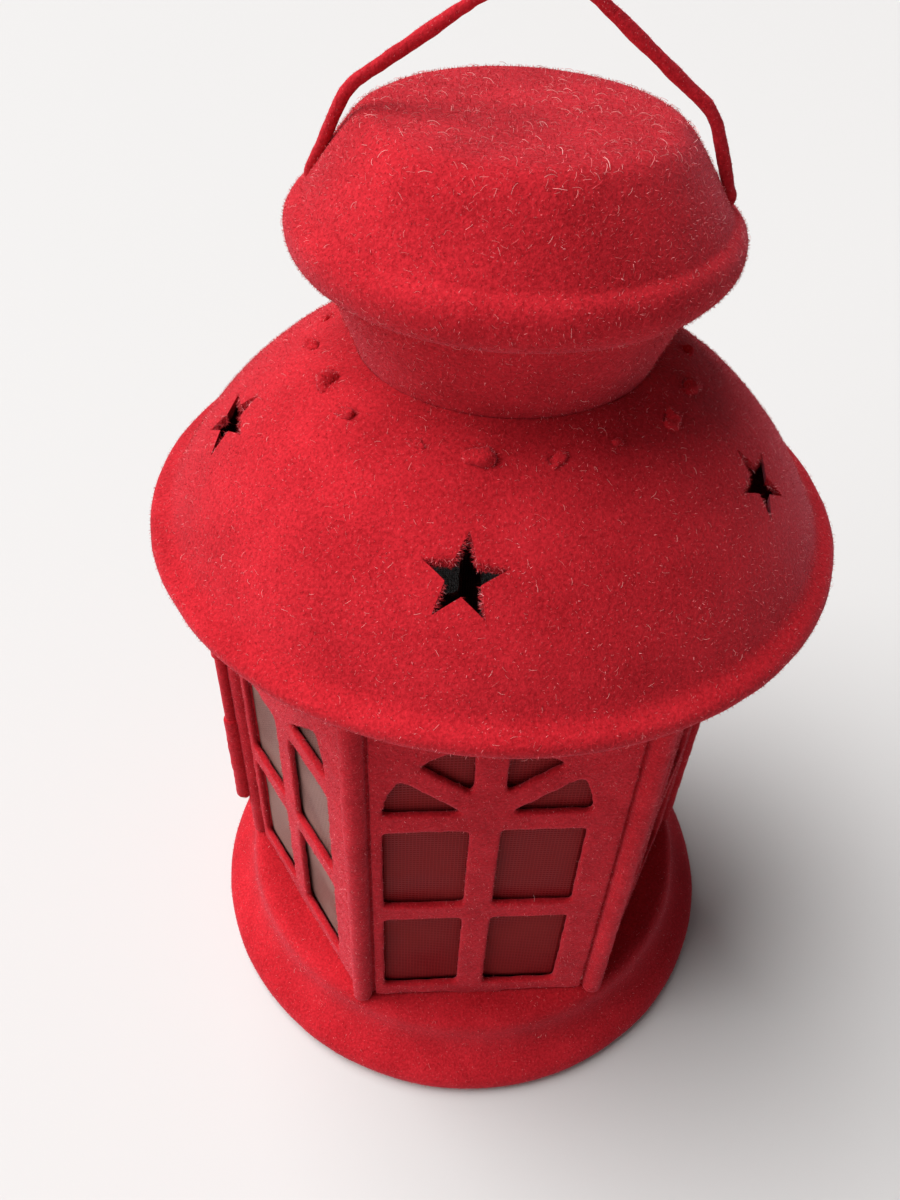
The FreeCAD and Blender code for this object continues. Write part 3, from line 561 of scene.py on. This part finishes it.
def make_bare_steel():
    steel = bpy.data.materials.new("tinned_steel")
    steel.use_nodes = True
    nodes, links = steel.node_tree.nodes, steel.node_tree.links
    shader = nodes["Principled BSDF"]
    node_input(shader, "Metallic", 1.0)
    place = nodes.new("ShaderNodeTexCoord")
    squeeze = nodes.new("ShaderNodeMapping")
    node_input(squeeze, "Scale", (1.0, 1.0, 9.0))
    links.new(place.outputs["Object"], squeeze.inputs["Vector"])
    brushing = nodes.new("ShaderNodeTexNoise")
    node_input(brushing, "Scale", 420.0)
    node_input(brushing, "Detail", 4.0)
    links.new(squeeze.outputs["Vector"], brushing.inputs["Vector"])
    stain = nodes.new("ShaderNodeTexNoise")
    node_input(stain, "Scale", 130.0)
    links.new(place.outputs["Object"], stain.inputs["Vector"])
    colour = nodes.new("ShaderNodeMix")
    colour.data_type = "RGBA"
    node_input(colour, "A", (0.50, 0.47, 0.43, 1.0))
    node_input(colour, "B", (0.74, 0.73, 0.70, 1.0))
    links.new(stain.outputs["Fac"], colour.inputs["Factor"])
    links.new(colour.outputs["Result"], shader.inputs["Base Color"])
    rough = nodes.new("ShaderNodeMapRange")
    node_input(rough, "To Min", 0.28)
    node_input(rough, "To Max", 0.52)
    links.new(brushing.outputs["Fac"], rough.inputs["Value"])
    links.new(rough.outputs["Result"], shader.inputs["Roughness"])
    bump = nodes.new("ShaderNodeBump")
    node_input(bump, "Strength", 0.15)
    node_input(bump, "Distance", 0.0002)
    links.new(brushing.outputs["Fac"], bump.inputs["Height"])
    links.new(bump.outputs["Normal"], shader.inputs["Normal"])
    return steel


def dress_node(node, paint):
    """A CAD node that keeps its own shape takes a finished material."""
    mesh = frame["nodes"][node].data
    mesh.materials.clear()
    mesh.materials.append(paint)


tinned_steel = make_bare_steel()
for steel_node in ("candle_cup", "cup_rivets", "hinge_pin"):
    dress_node(steel_node, tinned_steel)


# ---- Window panels, door and lintel --------------------------------------------------------
# Flat sheets with six panes punched out: four squares and a fan of four segments above.
# The flock builds up on the thin bars until they look like soft round piping.

SWELL_TEXTURE = soft_texture("flock_build_up", 0.0035, 2)


def flock_over(node, body, voxel, swell, rounding, tufts):
    """Copies a CAD sheet into a new piece whose edges are rounded by a thick coat of flock."""
    piece = bpy.data.objects.new(node + "_flocked", frame["nodes"][node].data.copy())
    bpy.context.scene.collection.objects.link(piece)
    bpy.ops.object.select_all(action="DESELECT")
    piece.select_set(True)
    bpy.context.view_layer.objects.active = piece
    bpy.ops.object.mode_set(mode="EDIT")
    bpy.ops.mesh.select_all(action="SELECT")
    bpy.ops.mesh.remove_doubles(threshold=0.002 * MM)
    bpy.ops.object.mode_set(mode="OBJECT")
    cells = piece.modifiers.new("coat", "REMESH")
    cells.mode = "VOXEL"
    cells.voxel_size = voxel * MM
    cells.use_smooth_shade = True
    rounder = piece.modifiers.new("rounder", "SMOOTH")
    rounder.factor = 0.5
    rounder.iterations = rounding
    grow = piece.modifiers.new("grow", "DISPLACE")
    grow.mid_level = 0.0
    grow.strength = swell * MM
    uneven(piece, SWELL_TEXTURE, tufts * MM)
    apply_all(piece)
    piece.data.materials.clear()
    piece.data.materials.append(flock_coat)
    bpy.ops.object.shade_smooth()
    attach(piece, body)
    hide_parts(node)
    return piece


def turned_copy(piece, name, degrees):
    """A copy with its own mesh, turned about the lantern's upright axis."""
    copy = bpy.data.objects.new(name, piece.data.copy())
    bpy.context.scene.collection.objects.link(copy)
    copy.rotation_euler = (0.0, 0.0, math.radians(degrees))
    bpy.ops.object.select_all(action="DESELECT")
    copy.select_set(True)
    bpy.context.view_layer.objects.active = copy
    bpy.ops.object.transform_apply(location=True, rotation=True, scale=True)
    return copy


def make_padded_sheet(node, turn, thickening):
    """One punched sheet facing front, its bars rounded and its coat built up outwards."""
    sheet = turned_copy(frame["nodes"][node], node + "_front_on", -turn)
    bpy.ops.object.mode_set(mode="EDIT")
    bpy.ops.mesh.select_all(action="SELECT")
    bpy.ops.mesh.remove_doubles(threshold=0.002 * MM)
    bpy.ops.object.mode_set(mode="OBJECT")
    cells = sheet.modifiers.new("coat", "REMESH")
    cells.mode = "VOXEL"
    cells.voxel_size = 0.50 * MM
    rounder = sheet.modifiers.new("rounder", "SMOOTH")
    rounder.factor = 0.5
    rounder.iterations = 4
    apply_all(sheet)
    bpy.ops.object.mode_set(mode="EDIT")
    bpy.ops.mesh.select_all(action="SELECT")
    bpy.ops.transform.resize(value=(1.0, thickening, 1.0), center_override=(0.0, SHEET_BACK * MM, 0.0))
    bpy.ops.object.mode_set(mode="OBJECT")
    round_again = sheet.modifiers.new("round_again", "SMOOTH")
    round_again.factor = 0.5
    round_again.iterations = 6
    apply_all(sheet)
    return sheet


def finish_sheet(sheet, node, turn, body):
    piece = turned_copy(sheet, node + "_flocked", turn)
    uneven(piece, SWELL_TEXTURE, 0.4 * MM)
    apply_all(piece)
    piece.data.materials.clear()
    piece.data.materials.append(flock_coat)
    bpy.ops.object.shade_smooth()
    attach(piece, body)
    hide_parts(node)
    return piece


SHEET_BACK = -44.0
WINDOW_TURNS = {"front": 0, "front_right": 60, "back_right": 120, "back": 180, "front_left": -60}
DOOR_TURN = -120
padded_window = make_padded_sheet("window_front", 0, 1.45)
window_sheets = {}
for side, turn in WINDOW_TURNS.items():
    window_sheets[side] = finish_sheet(padded_window, "window_" + side, turn, "lantern")
bpy.data.objects.remove(padded_window)
padded_door = make_padded_sheet("door_panel", DOOR_TURN, 1.35)
door_sheet = finish_sheet(padded_door, "door_panel", DOOR_TURN, "door")
bpy.data.objects.remove(padded_door)
door_lintel_sheet = flock_over("door_lintel", "lantern", 0.45, 0.2, 3, 0.2)


# ---- Corner posts --------------------------------------------------------------------------
# Six strips with a half-round bead down the outside and a flange behind each panel's edge,
# seamed to the floor and to the top plate.

corner_posts = {}
for corner in ("front_right", "right", "back_right", "back_left", "left", "front_left"):
    corner_posts[corner] = flock_over("corner_post_" + corner, "lantern", 0.45, 0.55, 3, 0.35)


# ---- Door hardware -------------------------------------------------------------------------
# A strip riveted to the door is rolled into the middle knuckle, two knuckles sit on the left
# corner post, and a small flat bar turns on a stud to hold the door shut.

hinge_leaf = flock_over("door_hinge_leaf", "door", 0.2, 0.1, 2, 0.12)
leaf_rivet_heads = flock_over("door_leaf_rivets", "door", 0.15, 0.08, 2, 0.08)
frame_knuckles = flock_over("frame_hinge_knuckles", "lantern", 0.25, 0.6, 2, 0.5)
button_stud = flock_over("button_stud", "lantern", 0.15, 0.05, 2, 0.08)
turn_button = flock_over("turn_button", "button", 0.2, 0.12, 2, 0.12)


# ---- Window films --------------------------------------------------------------------------
# Thin translucent plastic sheets with a fine pressed grid, glued behind each panel. They have
# cockled a little and greyed with dust and soot. Their colours also carry painted light: the front sheet
# is painted dark red for the roof's shade and the red inside behind it, and the others are painted
# greyer for the light they reflect.

def make_film_material(name, shaded, clouded, threaded):
    """Film colours: its plain ground, where dust clouds it, and the raised threads. The colours given
    carry painted light: painted shade on the front sheet and a painted grey reflection on the others.
    """
    film = bpy.data.materials.new(name)
    film.use_nodes = True
    nodes, links = film.node_tree.nodes, film.node_tree.links
    shader = nodes["Principled BSDF"]
    node_input(shader, "Specular IOR Level", 0.06)
    node_input(shader, "IOR", 1.46)
    place = nodes.new("ShaderNodeTexCoord")
    pitch = nodes.new("ShaderNodeMapping")
    node_input(pitch, "Scale", (57.0, 123.0, 1.0))
    links.new(place.outputs["UV"], pitch.inputs["Vector"])
    apart = nodes.new("ShaderNodeSeparateXYZ")
    links.new(pitch.outputs["Vector"], apart.inputs["Vector"])
    threads = []
    for axis in ("X", "Y"):
        wave = nodes.new("ShaderNodeMath")
        wave.operation = "PINGPONG"
        wave.inputs[1].default_value = 0.5
        links.new(apart.outputs[axis], wave.inputs[0])
        line = nodes.new("ShaderNodeMapRange")
        node_input(line, "From Min", 0.30)
        node_input(line, "From Max", 0.46)
        links.new(wave.outputs["Value"], line.inputs["Value"])
        threads.append(line.outputs["Result"])
    weave = nodes.new("ShaderNodeMath")
    weave.operation = "MAXIMUM"
    links.new(threads[0], weave.inputs[0])
    links.new(threads[1], weave.inputs[1])
    patches = nodes.new("ShaderNodeTexNoise")
    node_input(patches, "Scale", 75.0)
    node_input(patches, "Detail", 6.0)
    links.new(place.outputs["Object"], patches.inputs["Vector"])
    dust = nodes.new("ShaderNodeMapRange")
    node_input(dust, "From Min", 0.38)
    node_input(dust, "From Max", 0.66)
    links.new(patches.outputs["Fac"], dust.inputs["Value"])
    ground = nodes.new("ShaderNodeMix")
    ground.data_type = "RGBA"
    node_input(ground, "A", shaded)
    node_input(ground, "B", clouded)
    links.new(dust.outputs["Result"], ground.inputs["Factor"])
    lined = nodes.new("ShaderNodeMix")
    lined.data_type = "RGBA"
    node_input(lined, "B", threaded)
    links.new(weave.outputs["Value"], lined.inputs["Factor"])
    links.new(ground.outputs["Result"], lined.inputs["A"])
    links.new(lined.outputs["Result"], shader.inputs["Base Color"])
    cover = nodes.new("ShaderNodeMapRange")
    node_input(cover, "To Min", 0.86)
    node_input(cover, "To Max", 0.97)
    links.new(weave.outputs["Value"], cover.inputs["Value"])
    links.new(cover.outputs["Result"], shader.inputs["Alpha"])
    gloss = nodes.new("ShaderNodeMapRange")
    node_input(gloss, "To Min", 0.32)
    node_input(gloss, "To Max", 0.6)
    links.new(dust.outputs["Result"], gloss.inputs["Value"])
    links.new(gloss.outputs["Result"], shader.inputs["Roughness"])
    bump = nodes.new("ShaderNodeBump")
    node_input(bump, "Strength", 0.5)
    node_input(bump, "Distance", 0.0001)
    links.new(weave.outputs["Value"], bump.inputs["Height"])
    links.new(bump.outputs["Normal"], shader.inputs["Normal"])
    return film


# Front sheet: painted shade, dark red for the roof's shadow and the red inside behind it.
painted_shade_front_sheet = make_film_material("film_front_painted_shade", (0.17, 0.005, 0.008, 1.0), (0.20, 0.016, 0.016, 1.0),
                                (0.26, 0.018, 0.020, 1.0))
# Other sheets: greyer and paler, from dust together with a painted reflection of the light.
film_dust_and_painted_reflection = make_film_material("film_dust_and_painted_reflection", (0.12, 0.045, 0.038, 1.0), (0.26, 0.15, 0.13, 1.0),
                                (0.30, 0.17, 0.15, 1.0))
cockle = soft_texture("film_cockle", 0.018)
FILM_TURNS = {"front": 0, "front_right": 60, "back_right": 120, "back": 180, "front_left": -60,
              "door": -120}
film_low, film_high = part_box("film_front")


def make_film(side, turn, body):
    middle = (film_low + film_high) / 2
    size = film_high - film_low
    bpy.ops.object.select_all(action="DESELECT")
    bpy.ops.mesh.primitive_plane_add(size=1.0, location=middle, rotation=(math.pi / 2, 0.0, 0.0))
    film = bpy.context.object
    film.name = "film_sheet_" + side
    film.scale = (size.x - 0.4 * MM, size.z - 0.4 * MM, 1.0)
    bpy.ops.object.transform_apply(location=True, rotation=True, scale=True)
    bpy.ops.object.mode_set(mode="EDIT")
    bpy.ops.mesh.select_all(action="SELECT")
    bpy.ops.mesh.subdivide(number_cuts=40)
    bpy.ops.object.mode_set(mode="OBJECT")
    bend = film.modifiers.new("cockle", "DISPLACE")
    bend.texture = cockle
    bend.texture_coords = "LOCAL"
    bend.mid_level = 1.0
    bend.strength = 0.5 * MM
    sheet = film.modifiers.new("sheet", "SOLIDIFY")
    sheet.thickness = 0.12 * MM
    sheet.offset = 0.0
    apply_all(film)
    film.rotation_euler = (0.0, 0.0, math.radians(turn))
    bpy.ops.object.transform_apply(location=True, rotation=True, scale=True)
    # The front sheet's colour is painted shade; the other sheets' grey is dust and a painted reflection.
    film.data.materials.append(painted_shade_front_sheet if side == "front" else film_dust_and_painted_reflection)
    bpy.ops.object.shade_smooth()
    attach(film, body)
    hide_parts("film_" + side)
    return film


for film_side, film_turn in FILM_TURNS.items():
    make_film(film_side, film_turn, "door" if film_side == "door" else "lantern")


# ---- Top plate -----------------------------------------------------------------------------
# A flat ring that takes the panels' upper tabs; flocked with the rest and hidden by the roof.

dress_node("top_plate", flock_coat)


# ---- Roof ----------------------------------------------------------------------------------
# A domed pressing with its rim rolled under, five punched stars and a ring of small vents
# round the neck that the flock has nearly closed.

ROOF_LINE = [(24.3, 154.2), (26.5, 153.5), (29.5, 152.4), (33.0, 150.8), (37.0, 148.3),
             (41.0, 145.3), (44.5, 142.2), (48.0, 138.6), (51.0, 135.0), (53.5, 131.6),
             (55.4, 128.6), (56.5, 126.7), (57.4, 125.7), (58.6, 125.2), (59.9, 124.9),
             (60.9, 124.1), (61.1, 122.8), (60.4, 121.5), (58.9, 120.8), (57.2, 121.0),
             (56.0, 121.9), (55.7, 122.9)]
STAR_COUNT = 5
STAR_RING = 45.0
STAR_REACH = 6.5
STAR_CORE = 2.7
STAR_TURN = -101.5
ROOF_SLOPE = 42.0
VENT_COUNT = 18
VENT_RING = 30.8
VENT_LEVEL = 152.6

roof_shell = turned_sheet("roof_flocked", ROOF_LINE)
faces_outward(roof_shell, (0.045, 0.0, 0.141), (0.7, 0.0, 0.7))
smooth(roof_shell, 2)
thicken(roof_shell, WALL * MM)
uneven(roof_shell, broad_unevenness, 0.45 * MM)
apply_all(roof_shell)


def cut_with(piece, cutter):
    cut = piece.modifiers.new("cut", "BOOLEAN")
    cut.operation = "DIFFERENCE"
    cut.solver = "EXACT"
    cut.object = cutter
    apply_all(piece)
    bpy.data.objects.remove(cutter)


def make_star_cutters():
    """Five star-shaped punches, one point towards the neck."""
    bpy.ops.object.select_all(action="DESELECT")
    bpy.ops.mesh.primitive_circle_add(vertices=10, radius=STAR_REACH * MM, fill_type="NGON")
    star = bpy.context.object
    bpy.ops.object.mode_set(mode="EDIT")
    bpy.ops.mesh.select_all(action="DESELECT")
    bpy.ops.object.mode_set(mode="OBJECT")
    for index, corner in enumerate(star.data.vertices):
        corner.select = index % 2 == 1
    bpy.ops.object.mode_set(mode="EDIT")
    share = STAR_CORE / STAR_REACH
    bpy.ops.transform.resize(value=(share, share, share), center_override=(0.0, 0.0, 0.0))
    bpy.ops.mesh.select_all(action="SELECT")
    bpy.ops.mesh.extrude_region_move(TRANSFORM_OT_translate={"value": (0.0, 0.0, 40.0 * MM)})
    bpy.ops.mesh.select_all(action="SELECT")
    bpy.ops.mesh.normals_make_consistent(inside=False)
    bpy.ops.object.mode_set(mode="OBJECT")
    star.rotation_euler = (0.0, 0.0, math.radians(90))
    bpy.ops.object.transform_apply(location=True, rotation=True, scale=True)
    star.scale = (math.cos(math.radians(ROOF_SLOPE)), 1.0, 1.0)
    star.location = (STAR_RING * MM, 0.0, 120.0 * MM)
    bpy.ops.object.transform_apply(location=True, rotation=True, scale=True)
    copies = []
    for index in range(STAR_COUNT):
        copy = bpy.data.objects.new("star_punch", star.data.copy())
        bpy.context.scene.collection.objects.link(copy)
        copy.rotation_euler = (0.0, 0.0, math.radians(STAR_TURN + 360 / STAR_COUNT * index))
        copies.append(copy)
    bpy.data.objects.remove(star)
    bpy.ops.object.select_all(action="DESELECT")
    for copy in copies:
        copy.select_set(True)
    bpy.context.view_layer.objects.active = copies[0]
    bpy.ops.object.transform_apply(location=True, rotation=True, scale=True)
    bpy.ops.object.join()
    return bpy.context.object


def make_vent_lumps(name, radius, shift, sink, squash):
    """A ring of small rough lumps beside the vents: cutters for the pits, or tufts of pile."""
    lumps = []
    for index in range(VENT_COUNT):
        spin = math.radians(STAR_TURN + 360 / VENT_COUNT * index + shift * math.sin(index * 3.1))
        wander = math.sin(index * 2.4)
        reach = VENT_RING + 0.6 * wander
        bpy.ops.object.select_all(action="DESELECT")
        bpy.ops.mesh.primitive_ico_sphere_add(
            subdivisions=3, radius=radius * (1.0 + 0.3 * math.cos(index * 1.7)) * MM,
            location=(reach * math.cos(spin) * MM, reach * math.sin(spin) * MM,
                      (VENT_LEVEL - sink - 0.35 * wander) * MM))
        lump = bpy.context.object
        lump.rotation_euler = (0.5 * wander, 0.4, spin + 0.6 * wander)
        lump.scale = (0.8, 1.3, squash)
        bpy.ops.object.transform_apply(location=False, rotation=True, scale=True)
        lumps.append(lump)
    bpy.ops.object.select_all(action="DESELECT")
    for lump in lumps:
        lump.select_set(True)
    bpy.context.view_layer.objects.active = lumps[0]
    bpy.ops.object.join()
    bpy.ops.object.transform_apply(location=True, rotation=True, scale=True)
    joined = bpy.context.object
    joined.name = name
    return joined


cut_with(roof_shell, make_star_cutters())
cut_with(roof_shell, make_vent_lumps("vent_punch", 1.5, 0.0, -0.2, 0.9))
in_fixed_order(roof_shell)
roof_shell.data.materials.append(flock_coat)
bpy.ops.object.shade_smooth_by_angle(angle=math.radians(60))
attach(roof_shell, "lantern")
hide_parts("roof")

vent_tufts = make_vent_lumps("vent_tufts", 1.5, 4.0, 1.25, 0.8)
uneven(vent_tufts, pile_tufts, 1.9 * MM)
apply_all(vent_tufts)
vent_tufts.data.materials.append(flock_coat)
bpy.ops.object.shade_smooth()
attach(vent_tufts, "lantern")


def star_edge_host():
    """The cut walls of the stars, where the pile stands out most."""
    bpy.ops.object.select_all(action="DESELECT")
    roof_shell.select_set(True)
    bpy.context.view_layer.objects.active = roof_shell
    middles = []
    for index in range(STAR_COUNT):
        spin = math.radians(STAR_TURN + 360 / STAR_COUNT * index)
        middles.append(Vector((STAR_RING * math.cos(spin) * MM, STAR_RING * math.sin(spin) * MM, 0.0)))
    for face in roof_shell.data.polygons:
        spot = Vector((face.center.x, face.center.y, 0.0))
        near = min((spot - middle).length for middle in middles) < STAR_REACH * MM * 1.02
        face.select = near and abs(face.normal.z) < 0.2 and face.center.z > 0.130
    for edge in roof_shell.data.edges:
        edge.select = False
    for point in roof_shell.data.vertices:
        point.select = False
    bpy.ops.object.mode_set(mode="EDIT")
    bpy.ops.mesh.select_mode(type="FACE")
    bpy.ops.mesh.duplicate()
    bpy.ops.mesh.separate(type="SELECTED")
    bpy.ops.mesh.select_mode(type="VERT")
    bpy.ops.object.mode_set(mode="OBJECT")
    walls = [thing for thing in bpy.context.selected_objects if thing is not roof_shell][0]
    walls.name = "star_walls"
    return walls


star_walls = star_edge_host()


# ---- Neck and cap --------------------------------------------------------------------------
# A plain cone between roof and cap, and over it the closed cap: flat top, rounded edge,
# bulging side and a rolled bead that grips the neck. The real cap has two small holes that take the
# handle; none are cut in this shell.

NECK_LINE = [(23.5, 152.0), (24.0, 153.6), (24.6, 155.4), (25.4, 157.6), (26.9, 161.5),
             (28.6, 166.0), (29.5, 168.4), (29.8, 169.3)]
CAP_LINE = [(0.0, 188.6), (7.0, 188.6), (14.0, 188.6), (19.0, 188.55), (21.8, 188.3),
            (23.6, 187.2), (25.2, 185.4), (27.4, 182.5), (29.3, 179.9), (30.6, 178.1),
            (31.1, 177.3), (31.5, 176.7), (32.3, 176.3), (33.4, 175.6), (34.2, 174.1),
            (34.2, 172.2), (33.6, 170.6), (32.5, 169.2), (31.2, 168.4), (30.2, 168.2),
            (30.0, 168.7)]

neck_shell = turned_sheet("neck_flocked", NECK_LINE)
faces_outward(neck_shell, (0.027, 0.0, 0.161), (1.0, 0.0, -0.3))
smooth(neck_shell, 2)
thicken(neck_shell, WALL * MM)
uneven(neck_shell, broad_unevenness, 0.3 * MM)
apply_all(neck_shell)
bpy.ops.object.shade_smooth()
neck_shell.data.materials.append(flock_coat)
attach(neck_shell, "lantern")
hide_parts("neck")

cap_shell = turned_sheet("cap_flocked", CAP_LINE)
faces_outward(cap_shell, (0.033, 0.0, 0.172), (1.0, 0.0, 0.0))
smooth(cap_shell, 2)
thicken(cap_shell, WALL * MM)
uneven(cap_shell, broad_unevenness, 0.4 * MM)
apply_all(cap_shell)
bpy.ops.object.shade_smooth()
cap_shell.data.materials.append(flock_coat)
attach(cap_shell, "lantern")
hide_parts("cap")


# ---- Handle --------------------------------------------------------------------------------
# A bail bent from 1.6 mm wire and flocked with the rest: turned-in ends, short steep legs,
# long sloping shoulders and a rounded crown.

WIRE_RADIUS = 0.92
HANDLE_LINE = [(-29.0, -0.6), (-30.7, -0.1), (-24.2, 13.1), (1.4, 30.6), (25.7, 12.4),
               (31.2, -0.1), (29.2, -0.6)]
HANDLE_BENDS = {1: 1.2, 2: 2.2, 3: 4.0, 4: 2.2, 5: 1.2}
HANDLE_LEAN = 8.0
HANDLE_TURN = -6.4


def make_handle():
    """Bends the wire in its own plane, then leans and turns it to where it rests."""
    bpy.ops.object.select_all(action="DESELECT")
    along, up = HANDLE_LINE[0]
    bpy.ops.mesh.primitive_plane_add(size=0.1 * MM, location=(along * MM, 0.0, up * MM))
    wire = bpy.context.object
    wire.name = "handle_wire_flocked"
    bpy.ops.object.mode_set(mode="EDIT")
    bpy.ops.mesh.select_all(action="SELECT")
    bpy.ops.mesh.merge(type="CENTER")
    for next_along, next_up in HANDLE_LINE[1:]:
        step = ((next_along - along) * MM, 0.0, (next_up - up) * MM)
        bpy.ops.mesh.extrude_region_move(TRANSFORM_OT_translate={"value": step})
        along, up = next_along, next_up
    bpy.ops.object.mode_set(mode="OBJECT")
    bpy.ops.object.transform_apply(location=True, rotation=True, scale=True)
    for bend, reach in HANDLE_BENDS.items():
        corner = Vector((HANDLE_LINE[bend][0] * MM, 0.0, HANDLE_LINE[bend][1] * MM))
        for point in wire.data.vertices:
            point.select = (point.co - corner).length < 0.01 * MM
        bpy.ops.object.mode_set(mode="EDIT")
        bpy.ops.mesh.bevel(offset=reach * MM, segments=6, affect="VERTICES")
        bpy.ops.mesh.select_all(action="DESELECT")
        bpy.ops.object.mode_set(mode="OBJECT")
    bpy.ops.object.convert(target="CURVE")
    wire.data.bevel_depth = WIRE_RADIUS * MM
    wire.data.bevel_resolution = 4
    wire.data.use_fill_caps = True
    bpy.ops.object.convert(target="MESH")
    bpy.ops.object.mode_set(mode="EDIT")
    bpy.ops.mesh.select_all(action="SELECT")
    bpy.ops.mesh.remove_doubles(threshold=0.01 * MM)
    bpy.ops.mesh.normals_make_consistent(inside=False)
    bpy.ops.object.mode_set(mode="OBJECT")
    cells = wire.modifiers.new("coat", "REMESH")
    cells.mode = "VOXEL"
    cells.voxel_size = 0.25 * MM
    uneven(wire, SWELL_TEXTURE, 0.40 * MM)
    apply_all(wire)
    hinge = [joint for joint in frame["record"]["behaviour"]["joints"] if joint["name"] == "bail_swing"]
    wire.rotation_euler = (math.radians(HANDLE_LEAN), 0.0, math.radians(HANDLE_TURN))
    wire.location = hinge[0]["pos_m"]
    bpy.ops.object.transform_apply(location=True, rotation=True, scale=True)
    return wire


handle = make_handle()
handle.data.materials.append(flock_coat)
bpy.ops.object.shade_smooth()
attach(handle, "bail")
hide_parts("handle_bail")


# ---- Pile ----------------------------------------------------------------------------------
# Single fibres of the coat that stand clear of it all over the outside.

PILE_HOSTS = [("roof", roof_shell, "lantern", 2.7, 0.17), ("cap", cap_shell, "lantern", 3.9, 0.32),
              ("neck", neck_shell, "lantern", 3.5, 0.08), ("base", base_shell, "lantern", 1.6, 0.04),
              ("door", door_sheet, "door", 2.6, 0.08), ("vent_tuft", vent_tufts, "lantern", 9.0, 0.3)]
for side, window_sheet in window_sheets.items():
    PILE_HOSTS.append(("window_" + side, window_sheet, "lantern", 2.9, 0.05))
for corner, post in corner_posts.items():
    PILE_HOSTS.append(("post_" + corner, post, "lantern", 2.2, 0.04))
for host_name, host, body, pile_density, lint_density in PILE_HOSTS:
    add_pile(host_name + "_pile", host, body, pile_density, lean=0.9, shortest=0.45, longest=1.1)
    add_pile(host_name + "_lint", host, body, lint_density, lean=0.16, shortest=0.22, longest=0.95,
             fibre=lint_thread, paint=lint_paint)
# Extra pale lint on the cap top: stray fibres, and also a painted sheen that makes the top paler and
# pinker.
add_pile("cap_top_lint", cap_shell, "lantern", 0.30, lean=0.12, shortest=0.6, longest=1.5, lowest=0.1865,
         fibre=lint_thread, paint=lint_paint)
add_pile("handle_pile", handle, "bail", 9.0, lean=1.0, shortest=0.25, longest=0.6)
add_pile("star_pile", star_walls, "lantern", 22.0, lean=1.1, shortest=0.6, longest=1.9)
bpy.data.objects.remove(star_walls)

bpy.data.objects.remove(lint_thread)
bpy.data.objects.remove(pile_fibre)
